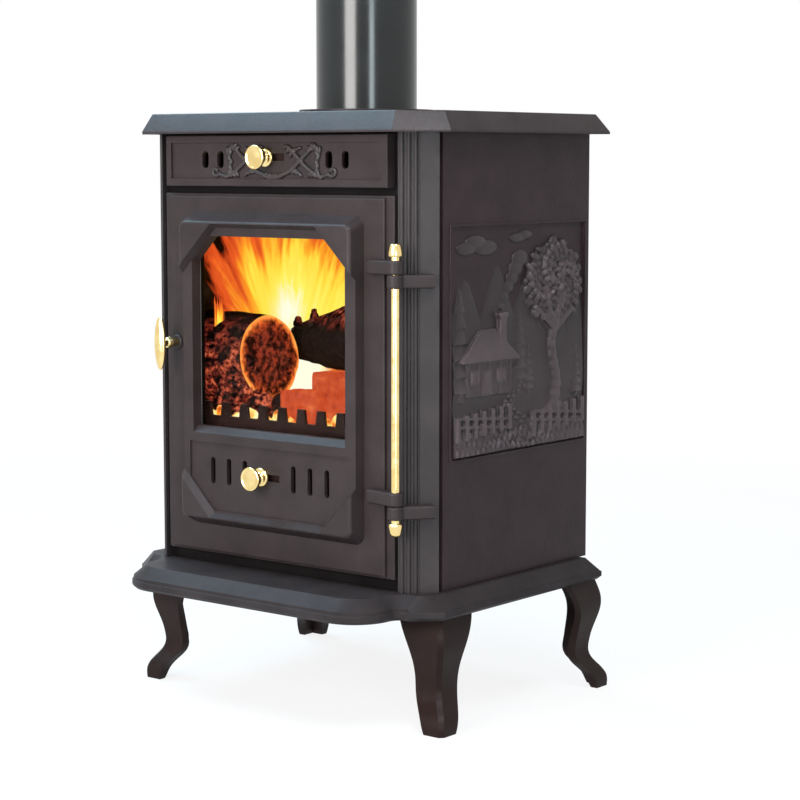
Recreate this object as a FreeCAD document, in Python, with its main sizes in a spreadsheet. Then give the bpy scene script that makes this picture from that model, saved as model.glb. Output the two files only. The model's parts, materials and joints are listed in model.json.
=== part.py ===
import FreeCAD, Part
import Sketcher
import math
import os
import re
from FreeCAD import Placement, Rotation, Vector

# Free-standing cast-iron wood stove with a glazed door, brass furniture and a flue.
# Millimetres. +Z is up, the door faces -Y, and the floor is at Z = 0.

SIZES = {
    # Shell of cast plates
    "body_half": 222.5,
    "body_depth": 341,
    "corner_leg": 35.5,
    "wall": 6,
    "wall_height": 547,
    "leg_height": 138,
    "base_height": 27.5,
    # Top plate
    "top_side": 22,
    "top_front": 20,
    "top_rear": 12,
    "top_corner_leg": 47,
    "top_thick": 8,
    "lip_drop": 16.5,
    "edge_run": 13,
    "edge_rise": 21.5,
    "recess_gap": 1,
    "edge_soft": 2,
    # Base plate and hearth shelf
    "base_side": 23,
    "base_rear": 2,
    "facet_back": 17,
    "facet_leg": 29,
    "shelf_in": 46.5,
    "shelf_out": 77,
    "shelf_round": 53,
    "neck_round": 11,
    "nose_height": 11,
    "nose_step": 2,
    "nose_under": 4,
    "nose_soft": 2,
    "cove_run": 16,
    "cove_rise": 13,
    # Legs, by station from the top down
    "front_toe_in": 2.5,
    "front_toe_y": 15,
    "rear_toe_side": 5.5,
    "rear_toe_out": 15,
    "ridge_flat": 5,
    "leg_top_inset": 12.7,
    "leg_top_wing": 60.8,
    "leg_top_wall": 9,
    "knee_share": 0.855,
    "knee_inset": 7.4,
    "knee_wing": 56.5,
    "knee_wall": 9,
    "calf_share": 0.725,
    "calf_inset": 7.6,
    "calf_wing": 48.5,
    "calf_wall": 9,
    "shin_share": 0.58,
    "shin_inset": 12.8,
    "shin_wing": 40,
    "shin_wall": 10,
    "shank_share": 0.42,
    "shank_inset": 17.4,
    "shank_wing": 35.4,
    "shank_wall": 11,
    "ankle_share": 0.326,
    "ankle_inset": 17.6,
    "ankle_wing": 34.8,
    "ankle_wall": 13,
    "instep_share": 0.225,
    "instep_inset": 11.1,
    "instep_wing": 33.9,
    "instep_wall": 15,
    "foot_share": 0.055,
    "foot_inset": 0.4,
    "foot_wing": 30,
    "foot_wall": 13,
    "sole_inset": 0.8,
    "sole_wing": 27,
    "sole_wall": 9.5,
    "leg_pad_side": 37,
    "leg_pad_thick": 10,
    "leg_bolt_radius": 4,
    "leg_bolt_head": 6.5,
    "leg_bolt_head_height": 5,
    "leg_bolt_reach": 10,
    "leg_bolt_in": 13,
    # Corner columns
    "strip_leg": 15.9,
    "reed_sink": 1.77,
    "reed_radius": 2.45,
    "reed_start": 19.1,
    "reed_pitch": 5.7,
    "column_thick": 17,
    "tongue": 16.5,
    "tongue_thick": 7.5,
    "groove": 6.5,
    # Side and rear panels
    "field_front": 57.5,
    "field_rear": 10,
    "field_low": 152,
    "field_high": 108,
    "field_sink": 2.5,
    "bead_width": 3,
    "bead_rise": 1.5,
    "rear_border": 26,
    "rear_sink": 2,
    "ledge_out": 10,
    "ledge_height": 10,
    # Front frame behind the door
    "frame_set": 14,
    "opening_lap": 10,
    "opening_low": 30.5,
    "opening_high": 32,
    "air_window_margin": 9.75,
    "air_window_height": 30,
    # Upper front panel and its air slide
    "panel_gap": 8.6,
    "panel_side_gap": 11.5,
    "panel_top_gap": 2,
    "panel_height": 61.4,
    "panel_out": 1.5,
    "panel_rim": 9,
    "panel_sink": 3,
    "panel_wall": 3,
    "panel_edge": 6,
    "panel_soft": 1.5,
    "vent_edge": 64.5,
    "vent_pitch": 25,
    "vent_width": 10.5,
    "vent_height": 20.5,
    "vent_rise": 32,
    "panel_knob_rise": 35,
    # Door casting
    "door_gap": 5.5,
    "door_low": 14.5,
    "door_thick": 12,
    "rim_step": 4,
    "rim_side": 11.5,
    "rim_end": 3,
    "plate_soft": 2,
    "rim_soft": 1.5,
    "shield_soft": 5,
    "shield_margin": 41.5,
    "shield_low": 36.5,
    "shield_high": 23,
    "shield_rise": 22,
    "shield_side_run": 4,
    "shield_end_run": 13,
    "shield_round": 14,
    "cap_step": 9,
    "cap_bevel": 5,
    "cap_high_run": 56.5,
    "cap_low_run": 51,
    "window_border": 18,
    "window_low": 159.5,
    "window_high": 28,
    "rail_height": 19,
    "grid_border": 12,
    "grid_sink": 2.5,
    "grid_wall": 5,
    "slot_first": 39,
    "slot_edge": 36.4,
    "slot_width": 7.5,
    "slot_height": 33,
    "slot_rise": 106,
    "door_knob_rise": 104.6,
    # Glass, seals and clips
    "glass_lap": 9,
    "glass_thick": 4,
    "gasket_thick": 1.5,
    "glass_gap": 1,
    "rebate_floor": 10,
    "rope_out": 10,
    "rope_end": 8,
    "rope_width": 9,
    "rope_depth": 6,
    "rope_gap": 0.3,
    "clip_in": 52,
    "clip_width": 14,
    "clip_thick": 1.5,
    "clip_reach": 8,
    "clip_foot": 10,
    "screw_radius": 2,
    "screw_head": 3.5,
    "screw_head_height": 2.5,
    "screw_length": 8,
    # Air slides
    "slide_thick": 2.5,
    "slide_clear": 0.3,
    "slide_travel": 12.5,
    "slide_rest": 12,
    "slide_margin": 8,
    "rail_lip": 4,
    "rail_block": 4.5,
    "rail_wall": 2.5,
    # Brass knobs
    "knob_radius": 15.5,
    "knob_base": 12,
    "knob_stem": 5.5,
    "knob_bolt": 4,
    "knob_length": 22,
    # Door hinge
    "hinge_in": 8,
    "hinge_out": 11,
    "rod_radius": 5,
    "fit": 0.05,
    "knuckle_radius": 9.5,
    "bracket_height": 15.5,
    "bracket_reach": 31,
    "bracket_nose": 9,
    "upper_bracket": 104.5,
    "lower_bracket": 74.5,
    "arm_height": 16,
    "arm_reach": 32,
    "arm_thick": 11,
    "arm_soft": 2.5,
    "finial_radius": 8.3,
    "finial_height": 19.5,
    "finial_stem": 4,
    "finial_bore": 12,
    # Handle and latch
    "handle_in": 21.5,
    "handle_rise": 260,
    "spindle_radius": 4.5,
    "grip_half": 33,
    "grip_wide": 8.5,
    "grip_thick": 5,
    "grip_out": 31,
    "boss_radius": 7.5,
    "boss_out": 15,
    "rosette_radius": 9,
    "rosette_thick": 3,
    "cam_thick": 5,
    "cam_clear": 0.5,
    "cam_head": 9,
    "cam_length": 34,
    "cam_width": 12,
    "mortise_clear": 6,
    "spindle_end": 6,
    # Firebox
    "brick_thick": 25,
    "brick_front": 66,
    "brick_drop": 2,
    "brick_gap": 0.5,
    "grate_low": 119.5,
    "grate_thick": 12,
    "grate_front": 24,
    "grate_side": 3,
    "bar_slot": 10,
    "bar_pitch": 24,
    "bar_end": 20,
    "guard_set": 30,
    "guard_thick": 5,
    "guard_lap": 16,
    "guard_height": 68,
    "tooth_depth": 17,
    "baffle_front": 110,
    "baffle_thick": 8,
    "baffle_in": 6,
    # Ash pan
    "ash_clear": 6,
    "ash_front": 30,
    "ash_rear": 31,
    "ash_height": 62,
    "ash_sheet": 1.5,
    "ash_grip_out": 5,
    "ash_grip_half": 40,
    "runner_height": 32,
    "runner_x": 105,
    "runner_wide": 12,
    # Flue and tie rods
    "flue_y": 175.5,
    "flue_radius": 62.5,
    "flue_wall": 2,
    "flue_length": 244.5,
    "spigot_gap": 0.2,
    "spigot_wall": 4.5,
    "spigot_height": 40,
    "collar_radius": 84,
    "collar_thick": 4,
    "boss_height": 1.5,
    "boss_rim": 2,
    "collar_hole_gap": 0.7,
    "collar_screw_circle": 74,
    "collar_screw_radius": 3,
    "collar_screw_in": 6,
    "tie_radius": 4,
    "tie_side": 13,
    "tie_front": 58,
    "tie_rear": 19,
    "tie_in": 10,
    "tie_up": 4,
}

# Places that follow from the sizes, as formulas
PLACES = {
    "front_y": "(shelf_out - body_depth - rear_toe_out) / 2",
    "rear_y": "front_y + body_depth",
    "top_half": "body_half + top_side",
    "base_half": "body_half + base_side",
    "shelf_half": "base_half - shelf_in",
    "front_toe_x": "base_half - front_toe_in",
    "rear_toe_x": "base_half + rear_toe_side",
    "rear_toe_y": "body_depth + rear_toe_out",
    "base_top": "leg_height + base_height",
    "wall_top": "base_top + wall_height",
    "lip_z": "wall_top - lip_drop",
    "top_z": "wall_top + top_thick",
    "inner_half": "body_half - wall",
    "column_x": "body_half - corner_leg",
    "frame_y": "front_y + frame_set",
    "frame_back": "frame_y + wall",
    "door_z": "base_top + door_low",
    "door_top": "panel_z - panel_gap",
    "door_half": "column_x - door_gap",
    "door_back": "front_y + door_thick",
    "shield_z": "door_z + shield_low",
    "shield_top": "door_top - shield_high",
    "shield_half": "door_half - shield_margin",
    "shield_y": "front_y - shield_rise",
    "cap_y": "shield_y + cap_step",
    "cap_high_z": "shield_top - shield_end_run",
    "cap_low_z": "shield_z + shield_end_run",
    "cap_high_half": "shield_half - cap_high_run",
    "cap_low_half": "shield_half - cap_low_run",
    "window_z": "door_z + window_low",
    "window_top": "shield_top - window_high",
    "window_half": "shield_half - window_border",
    "window_corner": "window_half + window_top - cap_high_half - cap_high_z + (1 + miter) * cap_bevel",
    "grid_top": "window_z - rail_height",
    "grid_half": "shield_half - grid_border",
    "grid_y": "cap_y + grid_sink",
    "grid_back": "grid_y + grid_wall",
    "slot_z": "door_z + slot_rise",
    "slot_last": "grid_half - slot_edge",
    "slot_pitch": "(slot_last - slot_first) / 2",
    "slide_half": "slot_last + slot_width / 2 + slide_margin",
    "slide_tall": "slot_height / 2 + slide_margin",
    "panel_top": "lip_z - panel_top_gap",
    "panel_z": "panel_top - panel_height",
    "panel_half": "column_x - panel_side_gap",
    "panel_y": "front_y - panel_out",
    "panel_face": "panel_y + panel_sink",
    "panel_back": "panel_face + panel_wall",
    "vent_z": "panel_z + vent_rise",
    "vent_last": "panel_half - vent_edge",
    "vent_first": "vent_last - vent_pitch",
    "air_window_half": "vent_last + vent_width / 2 + air_window_margin",
    "vent_slide_half": "vent_last + vent_width / 2 + slide_margin",
    "vent_slide_tall": "vent_height / 2 + slide_margin",
    "opening_z": "base_top + opening_low",
    "opening_top": "door_top - opening_high",
    "opening_half": "window_half + opening_lap",
    "rebate_y": "door_back - rebate_floor",
    "glass_y": "rebate_y + gasket_thick",
    "glass_back": "glass_y + glass_thick",
    "rope_y": "door_back - rope_depth",
    "rope_line": "opening_half + rope_out",
    "clip_x": "window_half - clip_in",
    "hinge_y": "front_y - hinge_out",
    "hinge_x": "column_x + hinge_in",
    "upper_z": "door_top - upper_bracket",
    "lower_z": "door_z + lower_bracket",
    "handle_x": "(handle_in - door_half)",
    "handle_z": "door_z + handle_rise",
    "cam_y": "frame_back + cam_clear",
    "grate_z": "base_top + grate_low",
    "grate_top": "grate_z + grate_thick",
    "brick_x": "inner_half - brick_gap - brick_thick",
    "brick_y": "front_y + brick_front",
    "rear_brick_y": "rear_y - wall - brick_gap - brick_thick",
    "brick_top": "opening_top - brick_drop",
    "grate_half": "column_x + grate_side",
    "guard_half": "opening_half + guard_lap",
    "ash_half": "opening_half - ash_clear",
    "tie_x": "inner_half - tie_side",
    "runner_top": "base_top + runner_height",
    "flue_centre": "front_y + flue_y",
    "spigot_radius": "flue_radius - flue_wall - spigot_gap",
    "boss_z": "top_z + boss_height",
    "collar_top": "boss_z + collar_thick",
    "miter": "0.41421356",
}

doc = FreeCAD.newDocument("wood_stove")
sheet = doc.addObject("Spreadsheet::Sheet", "Sizes")
for row, (name, size) in enumerate(SIZES.items(), 1):
    sheet.set(f"A{row}", name)
    sheet.set(f"B{row}", str(size))
    sheet.setAlias(f"B{row}", name)
doc.recompute()

WORD = re.compile(r"[a-z_]\w*")
ORIGIN_PLANES = {"XY": "XY_Plane", "XZ": "XZ_Plane", "YZ": "YZ_Plane"}
subparts = []


def bind(formula):
    """A formula in the sizes' names, as an expression that reads the sheet."""
    def swap(match):
        name = match.group()
        if name in PLACES:
            return "(" + bind(PLACES[name]) + ")"
        return "Sizes." + name if name in SIZES else name
    return WORD.sub(swap, str(formula))


def value(formula):
    """The number that a formula gives now."""
    return float(sheet.evalExpression(bind(formula)))


def keep(solid, label):
    """Count a finished object as a sub-part under its own name."""
    solid.Label = label
    subparts.append(solid)
    return solid


def place(solid, x=0, y=0, z=0):
    """Bind an object's position."""
    for axis, formula in zip("xyz", (x, y, z)):
        solid.setExpression(f"Placement.Base.{axis}", bind(formula))
    return solid


def outline(points):
    """A closed outline. A point is (across, up) or, for a rounded corner, (across, up, radius)."""
    def draw(sketch):
        count = len(points)
        spots = [Vector(value(point[0]), value(point[1]), 0) for point in points]
        starts, ends, arcs = [], [], {}
        for i, point in enumerate(points):
            back = (spots[i - 1] - spots[i]).normalize()
            ahead = (spots[(i + 1) % count] - spots[i]).normalize()
            if len(point) == 2:
                ends.append(spots[i])
                starts.append(spots[i])
                continue
            half = back.getAngle(ahead) / 2
            run = value(point[2]) / math.tan(half)
            centre = spots[i] + (back + ahead).normalize() * (value(point[2]) / math.sin(half))
            ends.append(spots[i] + back * run)
            starts.append(spots[i] + ahead * run)
            arcs[i] = centre
        lines = [
            sketch.addGeometry(Part.LineSegment(starts[i], ends[(i + 1) % count]), False)
            for i in range(count)
        ]
        for i, point in enumerate(points):
            before, after = lines[i - 1], lines[i]
            if i in arcs:
                corner = sketch.addGeometry(Part.Point(spots[i]), True)
                angles = [math.atan2(end.y - arcs[i].y, end.x - arcs[i].x)
                          for end in (ends[i], starts[i])]
                first = 1 if (angles[1] - angles[0]) % (2 * math.pi) < math.pi else 2
                circle = Part.Circle(arcs[i], Vector(0, 0, 1), value(point[2]))
                curve = Part.ArcOfCircle(circle, angles[first - 1], angles[2 - first])
                arc = sketch.addGeometry(curve, False)
                sketch.addConstraint(Sketcher.Constraint("Tangent", before, 2, arc, first))
                sketch.addConstraint(Sketcher.Constraint("Tangent", after, 1, arc, 3 - first))
                radius = sketch.addConstraint(Sketcher.Constraint("Radius", arc, value(point[2])))
                sketch.setExpression(f"Constraints[{radius}]", bind(point[2]))
                sketch.addConstraint(Sketcher.Constraint("PointOnObject", corner, 1, before))
                sketch.addConstraint(Sketcher.Constraint("PointOnObject", corner, 1, after))
                pin(sketch, corner, 1, point[0], point[1])
            else:
                sketch.addConstraint(Sketcher.Constraint("Coincident", before, 2, after, 1))
                pin(sketch, after, 1, point[0], point[1])
    return draw


def pin(sketch, geometry, end, across, up):
    """Fix a sketch point at a place given by two formulas."""
    for kind, formula in (("DistanceX", across), ("DistanceY", up)):
        rule = Sketcher.Constraint(kind, -1, 1, geometry, end, value(formula))
        index = sketch.addConstraint(rule)
        sketch.setExpression(f"Constraints[{index}]", bind(formula))


def rect(left, right, low, high, radius=None):
    """A rectangle, with its corners rounded if a radius is given."""
    corners = [(left, low), (right, low), (right, high), (left, high)]
    if radius is not None:
        corners = [corner + (radius,) for corner in corners]
    return outline(corners)


def disc(across, up, radius):
    """A circle."""
    def draw(sketch):
        circle = Part.Circle(Vector(value(across), value(up), 0), Vector(0, 0, 1), value(radius))
        index = sketch.addGeometry(circle, False)
        rule = sketch.addConstraint(Sketcher.Constraint("Radius", index, value(radius)))
        sketch.setExpression(f"Constraints[{rule}]", bind(radius))
        pin(sketch, index, 3, across, up)
    return draw


def slot(across, up, width, height):
    """An upright slot with round ends, by its centre and outer size."""
    half = f"({width}) / 2 - 0.001"
    return rect(f"({across}) - ({width}) / 2", f"({across}) + ({width}) / 2",
                f"({up}) - ({height}) / 2", f"({up}) + ({height}) / 2", half)


def new_body(name):
    """An empty body."""
    return doc.addObject("PartDesign::Body", name)


def new_sketch(body, plane, offset, shapes):
    """A sketch on one of the body's own origin planes, moved along the plane's normal."""
    sketch = body.newObject("Sketcher::SketchObject", body.Name + "_sketch")
    for feature in body.Origin.OriginFeatures:
        if feature.Role == ORIGIN_PLANES[plane]:
            sketch.AttachmentSupport = [(feature, "")]
    sketch.MapMode = "FlatFace"
    sketch.setExpression("AttachmentOffset.Base.z", bind(offset))
    for shape in shapes:
        shape(sketch)
    return sketch


def add(body, plane, low, high, *shapes):
    """Pad outlines from the low to the high end of the axis that the plane faces."""
    offset = f"0 - ({high})" if plane == "XZ" else low
    feature = body.newObject("PartDesign::Pad", body.Name + "_pad")
    feature.Profile = new_sketch(body, plane, offset, shapes)
    feature.setExpression("Length", bind(f"({high}) - ({low})"))
    return feature


def cut(body, plane, low, high, *shapes):
    """Cut outlines out of the body, from the low to the high end of the axis."""
    doc.recompute()
    before = body.Shape.Volume
    offset = f"0 - ({low})" if plane == "XZ" else high
    feature = body.newObject("PartDesign::Pocket", body.Name + "_pocket")
    feature.Profile = new_sketch(body, plane, offset, shapes)
    feature.setExpression("Length", bind(f"({high}) - ({low})"))
    doc.recompute()
    if not body.Shape.Volume < before:
        raise RuntimeError(f"{feature.Name} cuts nothing")
    return feature


def dress(body, kind, sizes, chosen):
    """Fillet or chamfer the body's edges that a test picks."""
    doc.recompute()
    base = body.Tip
    names = [f"Edge{i}" for i, edge in enumerate(base.Shape.Edges, 1) if chosen(edge)]
    if not names:
        raise RuntimeError(f"{body.Name} has no edge to dress")
    feature = body.newObject("PartDesign::" + kind, f"{body.Name}_{kind.lower()}")
    feature.Base = (base, names)
    if kind == "Chamfer" and "Size2" in sizes:
        feature.ChamferType = "Two distances"
    for prop, formula in sizes.items():
        feature.setExpression(prop, bind(formula))
    return feature


def revolve(name, plane, points):
    """Turn a half profile, (radius, along) points, about the plane's upright axis."""
    body = new_body(name)
    feature = body.newObject("PartDesign::Revolution", name + "_turned")
    sketch = new_sketch(body, plane, "0", [outline(points)])
    feature.Profile = sketch
    feature.ReferenceAxis = (sketch, ["V_Axis"])
    feature.Angle = 360
    return body


def box(name, x, y, z):
    """A block between the (low, high) formulas of each axis."""
    block = doc.addObject("Part::Box", name)
    for prop, (low, high) in zip(("Length", "Width", "Height"), (x, y, z)):
        block.setExpression(prop, bind(f"({high}) - ({low})"))
    return place(block, x[0], y[0], z[0])


def rod(name, radius, x, y, z, length):
    """An upright round bar."""
    bar = doc.addObject("Part::Cylinder", name)
    bar.setExpression("Radius", bind(radius))
    bar.setExpression("Height", bind(length))
    return place(bar, x, y, z)


def group(name, solids):
    """Separate solids that share one sub-part."""
    bundle = doc.addObject("Part::Compound", name)
    bundle.Links = solids
    return keep(bundle, name)


def mirror(source, label):
    """The left-hand mirror image of a right-hand sub-part."""
    image = doc.addObject("Part::Mirroring", label)
    image.Source = source
    image.Normal = Vector(1, 0, 0)
    return keep(image, label)


FLAT = 1e-4


def lies_at(edge, axis, formula):
    """Whether the whole edge lies in the plane where an axis has a given value."""
    box_of = edge.BoundBox
    level = value(formula)
    low, high = getattr(box_of, axis + "Min"), getattr(box_of, axis + "Max")
    return abs(low - level) < FLAT and abs(high - level) < FLAT


def both_sides(right_half):
    """A symmetric outline from its right half, listed from the rear to the front."""
    left_half = [(f"0 - ({point[0]})",) + tuple(point[1:]) for point in reversed(right_half)]
    return outline(right_half + left_half)


def base_outline(inset):
    """Base plate outline with its corner facets and serpentine shelf, moved in by an inset."""
    neck = f"front_y + facet_back - facet_leg + {inset}"
    return both_sides([
        (f"base_half - {inset}", f"rear_y + base_rear - {inset}"),
        (f"base_half - {inset}", f"front_y + facet_back + miter * {inset}"),
        (f"base_half - facet_leg - miter * {inset}", neck),
        (f"shelf_half - {inset}", neck, f"neck_round + {inset}"),
        (f"shelf_half - {inset}", f"front_y - shelf_out + {inset}", f"shelf_round - {inset}"),
    ])


def base_plate():
    """Moulded base: nose band, sloping cove above it, and a flat top that carries the walls."""
    body = new_body("base_plate")
    add(body, "XY", "leg_height", "leg_height + nose_height", base_outline("0"))
    dress(body, "Chamfer", {"Size": "nose_under"},
          lambda edge: lies_at(edge, "Z", "leg_height"))
    dress(body, "Fillet", {"Radius": "nose_soft"},
          lambda edge: lies_at(edge, "Z", "leg_height + nose_height"))
    add(body, "XY", "leg_height + nose_height", "base_top", base_outline("nose_step"))
    dress(body, "Chamfer", {"Size": "cove_rise", "Size2": "cove_run"},
          lambda edge: lies_at(edge, "Z", "base_top"))
    cut(body, "XY", "base_top - tie_in", "base_top", *tie_holes())
    cut(body, "XY", "leg_height", "leg_height + leg_bolt_reach",
        *[disc(x, y, "leg_bolt_radius + fit") for x, y in bolt_places()])
    return keep(body, "base_plate")


TIE_ROWS = ("front_y + tie_front", "rear_y - tie_rear")


def tie_holes():
    """Holes on the four tie rods' axes."""
    return [disc(f"{side} * tie_x", y, "tie_radius + fit") for side in (-1, 1) for y in TIE_ROWS]


def leg_corner(row, inset):
    """Outer ridge of a right-hand leg of the front or rear row, moved in by an inset."""
    inward = 1 if row == "front" else -1
    return f"{row}_toe_x - {inset}", f"front_y + {row}_toe_y + {inward} * {inset}", inward


def bolt_places():
    """Axes of the four leg bolts."""
    places = []
    for row in ("front", "rear"):
        x, y, inward = leg_corner(row, "(leg_top_inset + leg_top_wall + leg_bolt_in)")
        places += [(f"{side} * ({x})", y) for side in (-1, 1)]
    return places


LEG_STATIONS = [
    ("1", "leg_top"),
    ("knee_share", "knee"),
    ("calf_share", "calf"),
    ("shin_share", "shin"),
    ("shank_share", "shank"),
    ("ankle_share", "ankle"),
    ("instep_share", "instep"),
    ("foot_share", "foot"),
    ("0", "sole"),
]


def leg_section(row, station):
    """Angle section of a leg: two wings that meet at a flattened outer ridge."""
    x, y, inward = leg_corner(row, station + "_inset")
    wing, thick = station + "_wing", station + "_wall"
    return outline([
        (f"{x} - ridge_flat", y),
        (x, f"{y} + {inward} * ridge_flat"),
        (x, f"{y} + {inward} * {wing}"),
        (f"{x} - {thick}", f"{y} + {inward} * {wing}"),
        (f"{x} - {thick}", f"{y} + {inward} * {thick}"),
        (f"{x} - {wing}", f"{y} + {inward} * {thick}"),
        (f"{x} - {wing}", y),
    ])


def legs():
    """Four cabriole legs: the right-hand ones lofted through their stations, the left ones mirrored."""
    for row in ("front", "rear"):
        body = new_body(f"leg_{row}_right")
        loft = body.newObject("PartDesign::AdditiveLoft", "leg_loft")
        sections = [
            new_sketch(body, "XY", f"leg_height * {share}", [leg_section(row, station)])
            for share, station in LEG_STATIONS
        ]
        loft.Profile = sections[0]
        loft.Sections = sections[1:]
        x, y, inward = leg_corner(row, "(leg_top_inset + leg_top_wall)")
        add(body, "XY", "leg_height - leg_pad_thick", "leg_height", outline([
            (f"{x} + 2", f"{y} - {inward} * 2"),
            (f"{x} + 2", f"{y} + {inward} * leg_pad_side"),
            (f"{x} - leg_pad_side", f"{y} - {inward} * 2"),
        ]))
        bolt_x, bolt_y, inward = leg_corner(row, "(leg_top_inset + leg_top_wall + leg_bolt_in)")
        cut(body, "XY", "leg_height - leg_pad_thick - 1", "leg_height + 1",
            disc(bolt_x, bolt_y, "leg_bolt_radius + fit"))
        keep(body, f"leg_{row}_right")
        mirror(body, f"leg_{row}_left")


def leg_bolts():
    """Hexagon-head bolts that hold the legs to the base plate."""
    bolts = []
    for x, y in bolt_places():
        shank = rod("leg_bolt_shank", "leg_bolt_radius", x, y,
                    "leg_height - leg_pad_thick", "leg_pad_thick + leg_bolt_reach")
        head = doc.addObject("Part::Prism", "leg_bolt_head")
        head.Polygon = 6
        head.setExpression("Circumradius", bind("leg_bolt_head"))
        head.setExpression("Height", bind("leg_bolt_head_height"))
        place(head, x, y, "leg_height - leg_pad_thick - leg_bolt_head_height")
        bolt = doc.addObject("Part::Fuse", "leg_bolt")
        bolt.Base = shank
        bolt.Tool = head
        bolts.append(bolt)
    group("leg_bolts", bolts)


def columns():
    """Splayed front corner columns: a flat strip outside and three reeds inside."""
    body = new_body("corner_column_right")
    front_low = "frame_back"
    add(body, "XY", "base_top", "wall_top", outline([
        ("column_x", "front_y + 2 * reed_sink"),
        ("body_half - strip_leg - reed_sink", "front_y + corner_leg - strip_leg + reed_sink"),
        ("body_half - strip_leg", "front_y + corner_leg - strip_leg"),
        ("body_half", "front_y + corner_leg"),
        ("inner_half", "front_y + corner_leg"),
        ("inner_half", "front_y + corner_leg + tongue"),
        ("inner_half - tongue_thick", "front_y + corner_leg + tongue"),
        ("inner_half - tongue_thick", "front_y + inner_half - tongue_thick - column_x + column_thick"),
        ("column_x - column_thick + frame_set + wall", front_low),
        ("column_x", front_low),
    ]))
    reeds = []
    for i in range(3):
        run = f"(reed_start + {i} * reed_pitch)"
        reeds.append(disc(f"body_half - {run} - reed_sink",
                          f"front_y + corner_leg - {run} + reed_sink", "reed_radius"))
    add(body, "XY", "base_top", "wall_top", *reeds)
    keep(body, "corner_column_right")
    mirror(body, "corner_column_left")


def side_panels():
    """Side plates with a sunk picture field, its bead and an inner ledge for the grate."""
    body = new_body("side_panel_right")
    front = "front_y + corner_leg + groove"
    add(body, "YZ", "inner_half", "body_half", rect(front, "rear_y", "base_top", "wall_top"))
    field = ("front_y + field_front", "rear_y - field_rear",
             "base_top + field_low", "lip_z - field_high")
    add(body, "YZ", "body_half", "body_half + bead_rise",
        rect(f"{field[0]} - bead_width", f"{field[1]} + bead_width",
             f"{field[2]} - bead_width", f"{field[3]} + bead_width"))
    cut(body, "YZ", "body_half - field_sink", "body_half + bead_rise", rect(*field))
    add(body, "YZ", "inner_half - ledge_out", "inner_half",
        rect("brick_y", "rear_brick_y", "grate_z - ledge_height", "grate_z"))
    keep(body, "side_panel_right")
    mirror(body, "side_panel_left")


def rear_panel():
    """Rear plate with a shallow sunk field inside a stiff border."""
    body = new_body("rear_panel")
    add(body, "XZ", "rear_y - wall", "rear_y",
        rect("0 - inner_half", "inner_half", "base_top", "wall_top"))
    sunk = rect("rear_border - inner_half", "inner_half - rear_border",
                "base_top + rear_border", "wall_top - lip_drop - rear_border", "rear_border / 2")
    feature = body.newObject("PartDesign::Pocket", "rear_panel_field")
    feature.Profile = new_sketch(body, "XZ", "0 - rear_y", [sunk])
    feature.setExpression("Length", bind("rear_sink"))
    feature.Reversed = True
    keep(body, "rear_panel")


def front_frame():
    """Flat plate that the door closes on, with the fire opening, latch mortise and air window."""
    body = new_body("front_frame")
    add(body, "XZ", "frame_y", "frame_back",
        rect("0 - column_x", "column_x", "base_top", "wall_top"))
    cut(body, "XZ", "frame_y", "frame_back",
        rect("0 - opening_half", "opening_half", "opening_z", "opening_top"),
        rect("handle_x - cam_width / 2 - mortise_clear", "handle_x + cam_width / 2 + mortise_clear",
             "handle_z - cam_length - mortise_clear", "handle_z + cam_head + mortise_clear"),
        rect("0 - air_window_half", "air_window_half",
             "vent_z - air_window_height / 2", "vent_z + air_window_height / 2"))
    keep(body, "front_frame")


def top_plate():
    """Bevelled cooking plate that drops over the walls, with the flue hole."""
    body = new_body("top_plate")
    front = "front_y - top_front"
    add(body, "XY", "lip_z", "top_z", both_sides([
        ("top_half", "rear_y + top_rear"),
        ("top_half", f"{front} + top_corner_leg"),
        ("top_half - top_corner_leg", front),
    ]))
    dress(body, "Chamfer", {"Size": "edge_rise", "Size2": "edge_run"},
          lambda edge: lies_at(edge, "Z", "top_z"))
    dress(body, "Fillet", {"Radius": "edge_soft"}, lambda edge: lies_at(edge, "Z", "top_z"))
    cut(body, "XY", "lip_z", "wall_top", both_sides([
        ("body_half + recess_gap", "rear_y + recess_gap"),
        ("body_half + recess_gap", "front_y + corner_leg - miter * recess_gap"),
        ("column_x + miter * recess_gap", "front_y - recess_gap"),
    ]))
    add(body, "XY", "top_z", "boss_z", disc("0", "flue_centre", "collar_radius + boss_rim"))
    cut(body, "XY", "wall_top - 1", "boss_z + 1",
        disc("0", "flue_centre", "spigot_radius + collar_hole_gap"))
    cut(body, "XY", "wall_top - 1", "wall_top + tie_up", *tie_holes())
    cut(body, "XY", "top_z - collar_screw_in", "boss_z", *collar_screw_holes())
    keep(body, "top_plate")


def collar_screw_holes():
    """Four screw holes on the collar's circle, on its diagonals."""
    reach = "collar_screw_circle * 0.70710678"
    return [disc(f"{sx} * {reach}", f"flue_centre + {sy} * {reach}", "collar_screw_radius + fit")
            for sx in (-1, 1) for sy in (-1, 1)]


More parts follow.
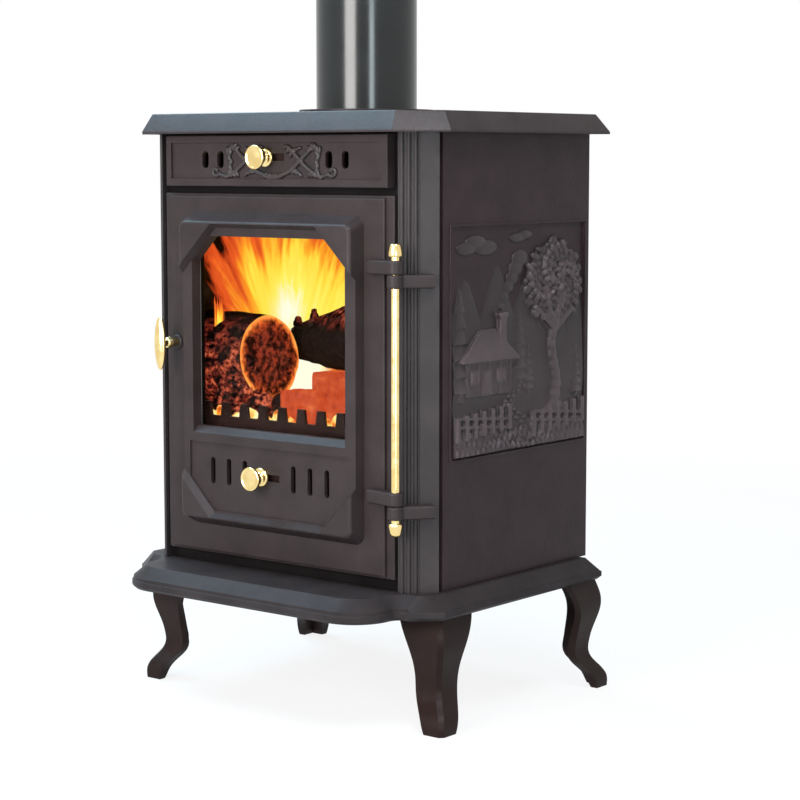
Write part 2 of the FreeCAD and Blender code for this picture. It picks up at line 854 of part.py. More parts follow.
def flue():
    """Flanged collar on the top plate, the pipe over its spigot, and the flush screws."""
    body = revolve("flue_collar", "XZ", [
        ("spigot_radius - spigot_wall", "wall_top"),
        ("spigot_radius", "wall_top"),
        ("spigot_radius", "boss_z"),
        ("collar_radius", "boss_z"),
        ("collar_radius", "collar_top"),
        ("spigot_radius", "collar_top"),
        ("spigot_radius", "collar_top + spigot_height"),
        ("spigot_radius - spigot_wall", "collar_top + spigot_height"),
    ])
    place(body, 0, "flue_centre", 0)
    doc.recompute()
    reach = "collar_screw_circle * 0.70710678"
    holes = [disc(f"{sx} * {reach}", f"{sy} * {reach}", "collar_screw_radius + fit")
             for sx in (-1, 1) for sy in (-1, 1)]
    cut(body, "XY", "boss_z - 1", "collar_top + 1", *holes)
    keep(body, "flue_collar")
    pipe = revolve("flue_pipe", "XZ", [
        ("flue_radius - flue_wall", "collar_top"),
        ("flue_radius", "collar_top"),
        ("flue_radius", "collar_top + flue_length"),
        ("flue_radius - flue_wall", "collar_top + flue_length"),
    ])
    place(pipe, 0, "flue_centre", 0)
    keep(pipe, "flue_pipe")
    screws = []
    for sx in (-1, 1):
        for sy in (-1, 1):
            screws.append(rod("collar_screw", "collar_screw_radius", f"{sx} * {reach}",
                              f"flue_centre + {sy} * {reach}", "top_z - collar_screw_in",
                              "collar_screw_in + boss_height + collar_thick"))
    group("collar_screws", screws)


def tie_rods():
    """Four rods that draw the top plate down on the base."""
    rods = []
    for side in (-1, 1):
        for y in TIE_ROWS:
            rods.append(rod("tie_rod", "tie_radius", f"{side} * tie_x", y,
                            "base_top - tie_in", "tie_in + wall_height + tie_up"))
    group("tie_rods", rods)


def upper_panel():
    """Shallow cast panel above the door, with a sunk field, four vents and the knob slot."""
    body = new_body("upper_front_panel")
    add(body, "XZ", "panel_y", "frame_y",
        rect("0 - panel_half", "panel_half", "panel_z", "panel_top"))
    dress(body, "Fillet", {"Radius": "panel_soft"}, lambda edge: lies_at(edge, "Y", "panel_y"))
    cut(body, "XZ", "panel_y", "panel_face",
        rect("panel_rim - panel_half", "panel_half - panel_rim",
             "panel_z + panel_rim", "panel_top - panel_rim"))
    cut(body, "XZ", "panel_back", "frame_y",
        rect("panel_edge - panel_half", "panel_half - panel_edge",
             "panel_z + panel_edge", "panel_top - panel_edge"))
    vents = [slot(f"{side} * (vent_first + {i} * vent_pitch)", "vent_z", "vent_width", "vent_height")
             for side in (-1, 1) for i in range(2)]
    cut(body, "XZ", "panel_face", "panel_back", *vents)
    cut(body, "XZ", "panel_face", "panel_back",
        rect("0 - slide_travel - knob_bolt - slide_clear", "slide_travel + knob_bolt + slide_clear",
             "panel_z + panel_knob_rise - knob_bolt - slide_clear",
             "panel_z + panel_knob_rise + knob_bolt + slide_clear"))
    keep(body, "upper_front_panel")


def air_slide(label, half, middle, tall, back, slots, knob_z):
    """Sliding air plate behind a row of slots, drawn open at the left end of its travel."""
    body = new_body(label)
    face = f"{back} + slide_clear"
    add(body, "XZ", face, f"{face} + slide_thick",
        rect(f"0 - slide_rest - {half}", f"{half} - slide_rest", f"{middle} - {tall}", f"{middle} + {tall}"))
    cut(body, "XZ", face, f"{face} + slide_thick", *slots,
        disc("0 - slide_rest", knob_z, "knob_bolt + fit"))
    keep(body, label)


def slide_rails(label, half, middle, tall, back):
    """Two angle rails that hold an air plate against the casting."""
    rails = []
    inner = f"{back} + 2 * slide_clear + slide_thick"
    outer = f"{inner} + rail_wall"
    for i, sign in enumerate((1, -1)):
        body = new_body(f"{label}_{i + 1}")
        edge = f"({tall} + slide_clear)"
        levels = (f"{middle} + {sign} * {edge}", f"{middle} + {sign} * ({edge} + rail_block)",
                  f"{middle} + {sign} * ({edge} - rail_lip)")
        add(body, "YZ", f"0 - {half} - slide_travel", f"{half} + slide_travel", outline([
            (back, levels[0]),
            (back, levels[1]),
            (outer, levels[1]),
            (outer, levels[2]),
            (inner, levels[2]),
            (inner, levels[0]),
        ]))
        rails.append(body)
    group(label, rails)


def knob(label, face, back, z):
    """Brass mushroom knob: domed face, waisted neck, foot flange and the bolt through the slot."""
    foot = f"{face} - slide_clear"
    body = revolve(label, "XY", [
        ("0", f"{foot} - knob_length"),
        ("knob_radius * 0.62", f"{foot} - knob_length + 0.8"),
        ("knob_radius", f"{foot} - knob_length + 4"),
        ("knob_radius", f"{foot} - knob_length + 6"),
        ("knob_radius * 0.7", f"{foot} - knob_length + 9"),
        ("knob_stem", f"{foot} - knob_length + 12"),
        ("knob_stem", f"{foot} - 6"),
        ("knob_base", f"{foot} - 2.5"),
        ("knob_base", foot),
        ("knob_bolt", foot),
        ("knob_bolt", f"{back} + slide_clear + slide_thick"),
        ("0", f"{back} + slide_clear + slide_thick"),
    ])
    place(body, "0 - slide_rest", 0, z)
    keep(body, label)


def air_controls():
    """Upper and lower air slides with their rails and knobs."""
    upper = [slot(f"{side} * (vent_first + {i} * vent_pitch)", "vent_z", "vent_width", "vent_height")
             for side in (-1, 1) for i in range(2)]
    lower = [slot(f"{side} * (slot_first + {i} * slot_pitch)", "slot_z", "slot_width", "slot_height")
             for side in (-1, 1) for i in range(3)]
    upper_z = "panel_z + panel_knob_rise"
    lower_z = "door_z + door_knob_rise"
    air_slide("upper_air_slide", "vent_slide_half", "vent_z", "vent_slide_tall", "panel_back",
              upper, upper_z)
    air_slide("lower_air_slide", "slide_half", "slot_z", "slide_tall", "grid_back", lower, lower_z)
    slide_rails("upper_slide_rails", "vent_slide_half", "vent_z", "vent_slide_tall", "panel_back")
    slide_rails("lower_slide_rails", "slide_half", "slot_z", "slide_tall", "grid_back")
    knob("upper_air_knob", "panel_face", "panel_back", upper_z)
    knob("lower_air_knob", "grid_y", "grid_back", lower_z)


def cap_outline(inset):
    """Inner edge of the raised caps: straight across, then down at 45 degrees and off the sides."""
    side = "shield_half + 8"
    high_half = f"cap_high_half - miter * {inset}"
    low_half = f"cap_low_half - miter * {inset}"
    high = f"cap_high_z - {inset}"
    low = f"cap_low_z + {inset}"
    return both_sides([
        (high_half, high),
        (side, f"{high} - ({side}) + {high_half}"),
        (side, f"{low} + ({side}) - ({low_half})"),
        (low_half, low),
    ])


def window_outline(grow="0"):
    """Window opening: clipped upper corners, square lower ones."""
    return both_sides([
        (f"window_half - window_corner + miter * {grow}", f"window_top + {grow}"),
        (f"window_half + {grow}", f"window_top - window_corner + miter * {grow}"),
        (f"window_half + {grow}", f"window_z - {grow}"),
    ])


def door_casting():
    """Door casting: flanged plate, drafted shield with raised caps, window and slotted grid."""
    body = new_body("door_casting")
    add(body, "XZ", "front_y + rim_step", "door_back",
        rect("0 - door_half", "door_half", "door_z", "door_top"))
    dress(body, "Fillet", {"Radius": "rim_soft"},
          lambda edge: lies_at(edge, "Y", "front_y + rim_step"))
    add(body, "XZ", "front_y", "front_y + rim_step",
        rect("rim_side - door_half", "door_half - rim_side",
             "door_z + rim_end", "door_top - rim_end"))
    dress(body, "Fillet", {"Radius": "plate_soft"}, lambda edge: lies_at(edge, "Y", "front_y"))
    shield = body.newObject("PartDesign::AdditiveLoft", "door_shield")
    shield.Profile = new_sketch(body, "XZ", "0 - front_y", [
        rect("0 - shield_half", "shield_half", "shield_z", "shield_top", "shield_round")])
    shield.Sections = [new_sketch(body, "XZ", "0 - shield_y", [
        rect("shield_side_run - shield_half", "shield_half - shield_side_run",
             "shield_z + shield_end_run - 2", "shield_top - shield_end_run + 2",
             "shield_round - shield_side_run")])]
    dress(body, "Fillet", {"Radius": "shield_soft"}, lambda edge: lies_at(edge, "Y", "shield_y"))
    doc.recompute()
    caps = body.newObject("PartDesign::SubtractiveLoft", "door_caps")
    caps.Profile = new_sketch(body, "XZ", "0 - shield_y", [cap_outline("0")])
    caps.Sections = [new_sketch(body, "XZ", "0 - cap_y", [cap_outline("cap_bevel")])]
    doc.recompute()
    cut(body, "XZ", "cap_y", "grid_y", both_sides([
        ("grid_half", "grid_top"),
        ("grid_half", "cap_low_z + cap_bevel + grid_sink + grid_half - cap_low_half"),
        ("cap_low_half", "cap_low_z + cap_bevel + grid_sink"),
    ]))
    cut(body, "XZ", "cap_y", "door_back", window_outline())
    reach = "slide_half + slide_travel + slide_clear"
    rail_reach = "slide_tall + slide_clear + rail_block + 1"
    cut(body, "XZ", "grid_back", "door_back",
        rect(f"0 - ({reach})", reach, f"slot_z - ({rail_reach})", f"slot_z + ({rail_reach})"))
    slots = [slot(f"{side} * (slot_first + {i} * slot_pitch)", "slot_z", "slot_width", "slot_height")
             for side in (-1, 1) for i in range(3)]
    cut(body, "XZ", "grid_y", "grid_back", *slots)
    cut(body, "XZ", "grid_y", "grid_back",
        rect("0 - slide_travel - knob_bolt - slide_clear", "slide_travel + knob_bolt + slide_clear",
             "door_z + door_knob_rise - knob_bolt - slide_clear",
             "door_z + door_knob_rise + knob_bolt + slide_clear"))
    cut(body, "XZ", "rebate_y", "door_back",
        rect("0 - window_half - glass_lap - glass_gap", "window_half + glass_lap + glass_gap",
             "window_z - glass_lap - glass_gap", "window_top + glass_lap + glass_gap"))
    cut(body, "XZ", "rope_y", "door_back", *rope_outlines())
    cut(body, "XZ", "front_y - 1", "door_back + 1", disc("handle_x", "handle_z", "spindle_radius + fit"))
    cut(body, "XZ", "rebate_y", "door_back", *[disc(x, z, "screw_radius + fit") for x, z in SCREWS])
    keep(body, "door_casting")


ROPE_LOW = "opening_z - rope_end"
ROPE_HIGH = "opening_top + rope_end"


def rope_outlines():
    """Outer and inner edges of the rope seal's groove."""
    half = "rope_width / 2"
    return [
        rect(f"0 - rope_line - {half}", f"rope_line + {half}",
             f"{ROPE_LOW} - {half}", f"{ROPE_HIGH} + {half}"),
        rect(f"{half} - rope_line", f"rope_line - {half}",
             f"{ROPE_LOW} + {half}", f"{ROPE_HIGH} - {half}"),
    ]


CLIP_LOW = "window_z - glass_lap - glass_gap"
CLIP_HIGH = "window_top + glass_lap + glass_gap"
SCREWS = [(f"{side} * clip_x", z) for side in (-1, 1)
          for z in (f"{CLIP_LOW} - clip_foot / 2", f"{CLIP_HIGH} + clip_foot / 2")]


def door_glazing():
    """Glass pane, its gasket, the four clips with their screws, and the rope seal."""
    lap = ("0 - window_half - glass_lap", "window_half + glass_lap",
           "window_z - glass_lap", "window_top + glass_lap")
    glass = new_body("door_glass")
    add(glass, "XZ", "glass_y", "glass_back", rect(*lap))
    keep(glass, "door_glass")
    gasket = new_body("glass_gasket")
    add(gasket, "XZ", "rebate_y", "glass_y", rect(*lap),
        rect("0 - window_half - 1", "window_half + 1", "window_z - 1", "window_top + 1"))
    keep(gasket, "glass_gasket")
    rope = new_body("door_rope_seal")
    add(rope, "XZ", "rope_y", "frame_y - rope_gap", *rope_outlines())
    keep(rope, "door_rope_seal")
    clips, screws = [], []
    for side in (-1, 1):
        for sign, edge in ((-1, CLIP_LOW), (1, CLIP_HIGH)):
            clips.append(clip(side, sign, edge))
    group("glass_clips", clips)
    for x, z in SCREWS:
        screws.append(clip_screw(x, z))
    group("clip_screws", screws)


def clip(side, sign, edge):
    """Cranked spring clip: a foot on the door's back and a toe on the glass."""
    body = new_body("glass_clip")
    back = "door_back + clip_thick"
    toe = "glass_back + clip_thick"
    add(body, "YZ", f"{side} * clip_x - clip_width / 2", f"{side} * clip_x + clip_width / 2", outline([
        ("glass_back", f"{edge} - {sign} * clip_reach"),
        ("glass_back", f"{edge} - {sign} * 0.2"),
        ("door_back", f"{edge} - {sign} * 0.2"),
        ("door_back", f"{edge} + {sign} * clip_foot"),
        (back, f"{edge} + {sign} * clip_foot"),
        (back, f"{edge} - {sign} * (clip_thick + 0.2)"),
        (toe, f"{edge} - {sign} * (clip_thick + 0.2)"),
        (toe, f"{edge} - {sign} * clip_reach"),
    ]))
    cut(body, "XZ", "door_back - 1", f"{back} + 1",
        disc(f"{side} * clip_x", f"{edge} + {sign} * clip_foot / 2", "screw_radius + fit"))
    return body


def clip_screw(x, z):
    """Round-head screw that holds a clip."""
    screw = revolve("clip_screw", "XY", [
        ("0", "door_back - screw_length"),
        ("screw_radius", "door_back - screw_length"),
        ("screw_radius", "door_back + clip_thick"),
        ("screw_head", "door_back + clip_thick"),
        ("screw_head * 0.7", "door_back + clip_thick + screw_head_height"),
        ("0", "door_back + clip_thick + screw_head_height"),
    ])
    return place(screw, x, 0, z)


def outer_arris(edge, low, high):
    """Whether an edge of a hinge casting is level and stands clear of the door and the column."""
    if not (lies_at(edge, "Z", low) or lies_at(edge, "Z", high)):
        return False
    on_column = value("column_x - front_y") + 3
    return not lies_at(edge, "Y", "front_y") and any(
        point.Point.x - point.Point.y > on_column or point.Point.x < value("column_x") for point in edge.Vertexes)


def hinge():
    """Brass hinge rod and finials, the brackets on the column and the arms on the door."""
    for label, low in (("hinge_bracket_upper", "upper_z"), ("hinge_bracket_lower", "lower_z")):
        body = new_body(label)
        foot = "(hinge_x + hinge_out - column_x) / 2"
        add(body, "XY", low, f"{low} + bracket_height", disc("hinge_x", "hinge_y", "knuckle_radius"))
        add(body, "XY", low, f"{low} + bracket_height", outline([
            (f"hinge_x - {foot} + 1", f"hinge_y + {foot} + 1"),
            ("hinge_x - 1", "hinge_y - knuckle_radius + 1.5"),
            ("column_x + bracket_reach + bracket_nose", "front_y + bracket_reach - bracket_nose"),
            ("column_x + bracket_reach", "front_y + bracket_reach"),
        ]))
        dress(body, "Fillet", {"Radius": "arm_soft"}, lambda edge: outer_arris(edge, low, f"{low} + bracket_height"))
        cut(body, "XY", f"{low} - 1", f"{low} + bracket_height + 1",
            disc("hinge_x", "hinge_y", "rod_radius + fit"))
        doc.recompute()
        keep(body, label)
    for label, low in (("door_arm_upper", "upper_z"), ("door_arm_lower", "lower_z")):
        body = new_body(label)
        floor = f"{low} + bracket_height + slide_clear"
        add(body, "XY", floor, f"{floor} + arm_height", disc("hinge_x", "hinge_y", "knuckle_radius"))
        left = "door_half - arm_reach"
        add(body, "XY", floor, f"{floor} + arm_height", outline([
            (left, "front_y"),
            (left, "front_y - arm_thick", "arm_thick / 2"),
            ("hinge_x", "hinge_y - knuckle_radius"),
            ("hinge_x", "hinge_y + knuckle_radius"),
            ("door_half - rim_side", "front_y"),
        ]))
        dress(body, "Fillet", {"Radius": "arm_soft"},
              lambda edge: outer_arris(edge, floor, f"{floor} + arm_height"))
        cut(body, "XY", f"{floor} - 1", f"{floor} + arm_height + 1",
            disc("hinge_x", "hinge_y", "rod_radius + fit"))
        keep(body, label)
    rod_low = "lower_z - finial_bore"
    rod_high = "upper_z + bracket_height + arm_height + 2 * slide_clear + finial_bore"
    keep(rod("hinge_rod", "rod_radius", "hinge_x", "hinge_y", rod_low, f"{rod_high} - ({rod_low})"),
         "hinge_rod")
    finial("hinge_finial_upper", "upper_z + bracket_height + arm_height + 2 * slide_clear", 1)
    finial("hinge_finial_lower", "lower_z", -1)


def finial(label, z, sign):
    """Bell-shaped brass cap nut on an end of the hinge rod, a little clear of the iron."""
    body = revolve(label, "XZ", [
        ("rod_radius + fit", f"{z} + {sign} * finial_stem"),
        ("finial_radius * 0.88", f"{z} + {sign} * finial_stem"),
        ("finial_radius", f"{z} + {sign} * (finial_stem + 1.5)"),
        ("finial_radius", f"{z} + {sign} * (finial_stem + 4)"),
        ("finial_radius * 0.78", f"{z} + {sign} * (finial_height - 3.5)"),
        ("finial_radius * 0.5", f"{z} + {sign} * (finial_height - 0.8)"),
        ("0", f"{z} + {sign} * finial_height"),
        ("0", f"{z} + {sign} * finial_bore"),
        ("rod_radius + fit", f"{z} + {sign} * finial_bore"),
    ])
    place(body, "hinge_x", "hinge_y", 0)
    keep(body, label)


def handle():
    """Brass oval grip, turned spindle, dark rosette, and the latch cam behind the frame."""
    grip = doc.addObject("Part::Ellipsoid", "grip_blank")
    grip.setExpression("Radius1", bind("grip_half"))
    grip.setExpression("Radius2", bind("grip_wide"))
    grip.setExpression("Radius3", bind("grip_thick"))
    place(grip, "handle_x", "front_y - grip_out", "handle_z")
    bore = doc.addObject("Part::Cylinder", "grip_bore")
    bore.setExpression("Radius", bind("spindle_radius + fit"))
    bore.setExpression("Height", bind("2 * grip_thick"))
    bore.Placement = Placement(Vector(), Rotation(Vector(1, 0, 0), -90))
    place(bore, "handle_x", "front_y - grip_out - 1", "handle_z")
    shaped = doc.addObject("Part::Cut", "handle_grip")
    shaped.Base = grip
    shaped.Tool = bore
    keep(shaped, "handle_grip")
    nose = "front_y - boss_out"
    spindle = revolve("handle_spindle", "XY", [
        ("0", "front_y - grip_out - 1"),
        ("spindle_radius", "front_y - grip_out - 1"),
        ("spindle_radius", f"{nose} - boss_radius * 0.8"),
        ("boss_radius * 0.8", f"{nose} - boss_radius * 0.6"),
        ("boss_radius", f"{nose}"),
        ("boss_radius * 0.8", f"{nose} + boss_radius * 0.6"),
        ("spindle_radius", f"{nose} + boss_radius * 0.8"),
        ("spindle_radius", "cam_y + cam_thick"),
        ("0", "cam_y + cam_thick"),
    ])
    place(spindle, "handle_x", 0, "handle_z")
    keep(spindle, "handle_spindle")
    rosette = revolve("handle_rosette", "XY", [
        ("spindle_radius + fit", "front_y - rosette_thick"),
        ("rosette_radius * 0.8", "front_y - rosette_thick"),
        ("rosette_radius", "front_y - rosette_thick / 2"),
        ("rosette_radius", "front_y"),
        ("spindle_radius + fit", "front_y"),
    ])
    place(rosette, "handle_x", 0, "handle_z")
    keep(rosette, "handle_rosette")
    cam = new_body("latch_cam")
    add(cam, "XZ", "cam_y", "cam_y + cam_thick", disc("handle_x", "handle_z", "cam_head"))
    add(cam, "XZ", "cam_y", "cam_y + cam_thick",
        rect("handle_x - cam_width / 2", "handle_x + cam_width / 2",
             "handle_z - cam_length", "handle_z"))
    cut(cam, "XZ", "cam_y - 1", "cam_y + cam_thick + 1",
        disc("handle_x", "handle_z", "spindle_radius + fit"))
    keep(cam, "latch_cam")


def grate_outline(front, half):
    """Plan of the grate and baffle: full width between the bricks' ends, narrower at the corners."""
    return [
        ("brick_x", "rear_y - wall - brick_gap"),
        ("brick_x", "rear_brick_y"),
        (half, "rear_brick_y"),
        (half, front),
    ]


def firebox():
    """Grate, bricks, baffle and log guard."""
    grate = new_body("grate")
    add(grate, "XY", "grate_z", "grate_top", both_sides(
        grate_outline("brick_y", "inner_half - brick_gap") + [
            ("grate_half", "brick_y"),
            ("grate_half", "front_y + grate_front"),
        ]))
    doc.recompute()
    first = cut(grate, "XY", "grate_z", "grate_top",
                rect("0 - 5 * bar_pitch - bar_slot / 2", "bar_slot / 2 - 5 * bar_pitch",
                     "brick_y + bar_end", "rear_brick_y - bar_end", "bar_slot / 2 - 0.01"))
    bars = grate.newObject("PartDesign::LinearPattern", "grate_bars")
    bars.Originals = [first]
    bars.Direction = (first.Profile[0], ["H_Axis"])
    bars.setExpression("Length", bind("10 * bar_pitch"))
    bars.Occurrences = 11
    grate.Tip = bars
    keep(grate, "grate")
    sides = ("brick_y", "rear_brick_y")
    upright = ("grate_top", "brick_top")
    right = box("side_brick_right", ("brick_x", "inner_half - brick_gap"), sides, upright)
    keep(right, "side_brick_right")
    mirror(right, "side_brick_left")
    keep(box("rear_brick", ("0 - brick_x + brick_gap", "brick_x - brick_gap"),
             ("rear_brick_y", "rear_y - wall - brick_gap"), upright), "rear_brick")
    baffle = new_body("baffle_plate")
    add(baffle, "XY", "brick_top", "brick_top + baffle_thick", both_sides(
        grate_outline("front_y + baffle_front", "inner_half - baffle_in")))
    keep(baffle, "baffle_plate")
    log_guard()


TEETH = 10


def log_guard():
    """Crenellated guard that keeps logs off the glass."""
    body = new_body("log_guard")
    top = "grate_top + guard_height"
    root = f"{top} - tooth_depth"
    pitch = f"(2 * guard_half / {TEETH - 0.5})"
    points = [("0 - guard_half", "grate_top"), ("guard_half", "grate_top")]
    for i in reversed(range(TEETH)):
        left = f"{i} * {pitch} - guard_half"
        points += [
            (f"{left} + 0.5 * {pitch}", root) if i < TEETH - 1 else ("guard_half", root),
            (f"{left} + 0.42 * {pitch}", top),
            (f"{left} + 0.08 * {pitch}", top),
            (left, root),
        ]
    points.pop(2)
    points.pop(-1)
    add(body, "XZ", "front_y + guard_set", "front_y + guard_set + guard_thick", outline(points))
    keep(body, "log_guard")


def ash_pan():
    """Folded ash pan with a grip on its front, on two runners."""
    body = new_body("ash_pan")
    front, rear = "front_y + ash_front", "rear_y - ash_rear"
    add(body, "XY", "runner_top", "runner_top + ash_height",
        rect("0 - ash_half", "ash_half", front, rear))
    cut(body, "XY", "runner_top + ash_sheet", "runner_top + ash_height",
        rect("ash_sheet - ash_half", "ash_half - ash_sheet", f"{front} + ash_sheet", f"{rear} - ash_sheet"))
    add(body, "XY", "runner_top + ash_height / 2", "runner_top + ash_height / 2 + 4",
        outline([
            ("0 - ash_grip_half", front),
            ("6 - ash_grip_half", f"{front} - ash_grip_out"),
            ("ash_grip_half - 6", f"{front} - ash_grip_out"),
            ("ash_grip_half", front),
        ]))
    keep(body, "ash_pan")
    runners = [
        box("ash_runner", (f"{side} * runner_x - runner_wide / 2", f"{side} * runner_x + runner_wide / 2"),
            (f"{front} + 10", f"{rear} - 10"), ("base_top", "runner_top"))
        for side in (-1, 1)
    ]
    group("ash_pan_runners", runners)


base_plate()
legs()
leg_bolts()
columns()
side_panels()
rear_panel()
front_frame()
top_plate()
flue()
tie_rods()
upper_panel()
air_controls()
door_casting()
door_glazing()
hinge()
handle()
firebox()
ash_pan()
doc.recompute()

for item in doc.Objects:
    if "Invalid" in item.State or "Error" in item.State:
        raise RuntimeError(f"{item.Name} did not build: {item.State}")
for part in subparts:
    if part.Shape.isNull() or not part.Shape.isValid() or not part.Shape.Solids:
        raise RuntimeError(f"{part.Label} has no valid solid")

os.makedirs("parts", exist_ok=True)
for part in subparts:
    part.Shape.exportStep(f"parts/{part.Label}.step")
print(len(subparts), "sub-parts written")
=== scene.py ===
import bpy
import json
import math
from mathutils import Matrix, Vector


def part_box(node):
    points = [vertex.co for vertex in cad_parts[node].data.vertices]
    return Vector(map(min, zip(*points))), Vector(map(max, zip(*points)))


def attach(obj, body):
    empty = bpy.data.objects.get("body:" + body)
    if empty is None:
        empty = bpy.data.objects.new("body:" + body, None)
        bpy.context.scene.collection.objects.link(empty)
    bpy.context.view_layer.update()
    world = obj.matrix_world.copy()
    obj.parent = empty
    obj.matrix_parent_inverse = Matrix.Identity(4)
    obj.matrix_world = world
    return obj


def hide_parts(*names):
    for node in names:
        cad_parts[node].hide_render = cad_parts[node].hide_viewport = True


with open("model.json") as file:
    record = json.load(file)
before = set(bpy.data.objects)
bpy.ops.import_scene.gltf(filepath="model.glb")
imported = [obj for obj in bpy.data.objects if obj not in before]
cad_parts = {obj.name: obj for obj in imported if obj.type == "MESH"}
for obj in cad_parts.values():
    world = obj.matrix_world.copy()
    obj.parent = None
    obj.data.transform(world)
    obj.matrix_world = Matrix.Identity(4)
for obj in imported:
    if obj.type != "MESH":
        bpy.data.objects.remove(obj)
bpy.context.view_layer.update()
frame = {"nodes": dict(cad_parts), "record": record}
scene = bpy.context.scene
scene.view_settings.view_transform = "Standard"

MM = 0.001
# The door's flat lies at this depth, and lengths behind it are counted from here.
DOOR_FLAT = -0.1395
SLOTS = {part["node"]: part["material_slot"] for part in frame["record"]["subparts"]}
BODY_OF = {node: body for body, nodes in frame["record"]["behaviour"]["bodies"].items() for node in nodes}


def depth(behind):
    return DOOR_FLAT + behind


# Handling of pieces

def enter_edit():
    bpy.ops.object.mode_set(mode="EDIT")


def leave_edit():
    bpy.ops.object.mode_set(mode="OBJECT")


def take(*pieces):
    if bpy.context.mode != "OBJECT":
        leave_edit()
    bpy.ops.object.select_all(action="DESELECT")
    for piece in pieces:
        piece.select_set(True)
    if pieces:
        bpy.context.view_layer.objects.active = pieces[0]


def edit_all(piece):
    take(piece)
    enter_edit()
    bpy.ops.mesh.select_mode(type="VERT")
    bpy.ops.mesh.select_all(action="SELECT")


def edit_corners(piece, wanted):
    edit_all(piece)
    bpy.ops.mesh.select_all(action="DESELECT")
    leave_edit()
    for corner in piece.data.vertices:
        corner.select = wanted(corner)
    enter_edit()


def edit_faces(piece, wanted):
    edit_all(piece)
    bpy.ops.mesh.select_mode(type="FACE")
    bpy.ops.mesh.select_all(action="DESELECT")
    leave_edit()
    for face in piece.data.polygons:
        face.select = wanted(face)
    enter_edit()


def face_outward(piece):
    edit_all(piece)
    bpy.ops.mesh.normals_make_consistent(inside=False)
    leave_edit()


def in_place(piece):
    take(piece)
    bpy.ops.object.transform_apply(location=True, rotation=True, scale=True)
    return piece


def apply_modifier(piece, kind, **settings):
    take(piece)
    change = piece.modifiers.new(kind.lower(), kind)
    for name, setting in settings.items():
        setattr(change, name, setting)
    bpy.ops.object.modifier_apply(modifier=change.name)


def smooth(piece, angle):
    take(piece)
    bpy.ops.object.shade_smooth_by_angle(angle=math.radians(angle))


def join(pieces):
    take(*pieces)
    bpy.ops.object.join()
    return bpy.context.object


def copy_of(piece):
    twin = piece.copy()
    twin.data = piece.data.copy()
    scene.collection.objects.link(twin)
    return twin


def settle(piece, name, body, look):
    in_place(piece)
    piece.name = name
    piece.data.name = name
    piece.data.materials.clear()
    piece.data.materials.append(look)
    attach(piece, body)


def stand_in(piece, node, ending):
    settle(piece, node + ending, BODY_OF[node], finish_of(node))
    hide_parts(node)


# Shader nodes

def finish(name):
    made = bpy.data.materials.new(name)
    made.use_nodes = True
    tree = made.node_tree
    return made, tree, tree.nodes["Principled BSDF"]


def link(tree, out, socket):
    tree.links.new(out, socket)


def coords(tree, kind="Object", scale=(1, 1, 1), turn=(0, 0, 0)):
    source = tree.nodes.new("ShaderNodeTexCoord")
    mapping = tree.nodes.new("ShaderNodeMapping")
    mapping.inputs["Scale"].default_value = scale
    mapping.inputs["Rotation"].default_value = turn
    link(tree, source.outputs[kind], mapping.inputs["Vector"])
    return mapping.outputs["Vector"]


def split(tree, where):
    made = tree.nodes.new("ShaderNodeSeparateXYZ")
    link(tree, where, made.inputs["Vector"])
    return made.outputs


def noise(tree, where, scale, detail=3, rough=0.55, bend=0):
    made = tree.nodes.new("ShaderNodeTexNoise")
    made.inputs["Scale"].default_value = scale
    made.inputs["Detail"].default_value = detail
    made.inputs["Roughness"].default_value = rough
    made.inputs["Distortion"].default_value = bend
    link(tree, where, made.inputs["Vector"])
    return made.outputs["Fac"]


def cells(tree, where, scale):
    made = tree.nodes.new("ShaderNodeTexVoronoi")
    made.inputs["Scale"].default_value = scale
    link(tree, where, made.inputs["Vector"])
    return made.outputs["Distance"]


def ramp(tree, factor, *stops):
    made = tree.nodes.new("ShaderNodeValToRGB")
    row = made.color_ramp.elements
    while len(row) < len(stops):
        row.new(0.5)
    for element, (place, colour) in zip(row, stops):
        element.position = place
        element.color = (*colour, 1) if isinstance(colour, tuple) else (colour, colour, colour, 1)
    link(tree, factor, made.inputs["Fac"])
    return made.outputs["Color"]


def sums(tree, how, first, second=0):
    made = tree.nodes.new("ShaderNodeMath")
    made.operation = how
    for socket, source in zip(made.inputs, (first, second)):
        if isinstance(source, (int, float)):
            socket.default_value = source
        else:
            link(tree, source, socket)
    return made.outputs["Value"]


def product(tree, first, *others):
    for other in others:
        first = sums(tree, "MULTIPLY", first, other)
    return first


def swing(tree, pattern, amount):
    return product(tree, sums(tree, "SUBTRACT", pattern, 0.5), amount)


def tint(tree, first, second):
    made = tree.nodes.new("ShaderNodeMix")
    made.data_type = "RGBA"
    made.blend_type = "MULTIPLY"
    made.inputs["Factor"].default_value = 1
    link(tree, first, made.inputs["A"])
    link(tree, second, made.inputs["B"])
    return made.outputs["Result"]


def bump(tree, shader, *layers):
    before = None
    for height, strength, distance in layers:
        made = tree.nodes.new("ShaderNodeBump")
        made.inputs["Strength"].default_value = strength
        made.inputs["Distance"].default_value = distance
        link(tree, height, made.inputs["Height"])
        if before:
            link(tree, before, made.inputs["Normal"])
        before = made.outputs["Normal"]
    link(tree, before, shader.inputs["Normal"])


def attribute(tree, name):
    made = tree.nodes.new("ShaderNodeAttribute")
    made.attribute_name = name
    return made.outputs["Fac"]


def raised_share(tree, axis, low, high):
    share = tree.nodes.new("ShaderNodeMapRange")
    share.inputs["From Min"].default_value = low
    share.inputs["From Max"].default_value = high
    link(tree, sums(tree, "ABSOLUTE", split(tree, coords(tree))[axis]), share.inputs["Value"])
    return share.outputs["Result"]


def glow(tree, shader, colour, strength, rough):
    link(tree, colour, shader.inputs["Emission Color"])
    shader.inputs["Emission Strength"].default_value = strength
    shader.inputs["Roughness"].default_value = rough
    shader.inputs["Specular IOR Level"].default_value = 0


# Finishes of the stove

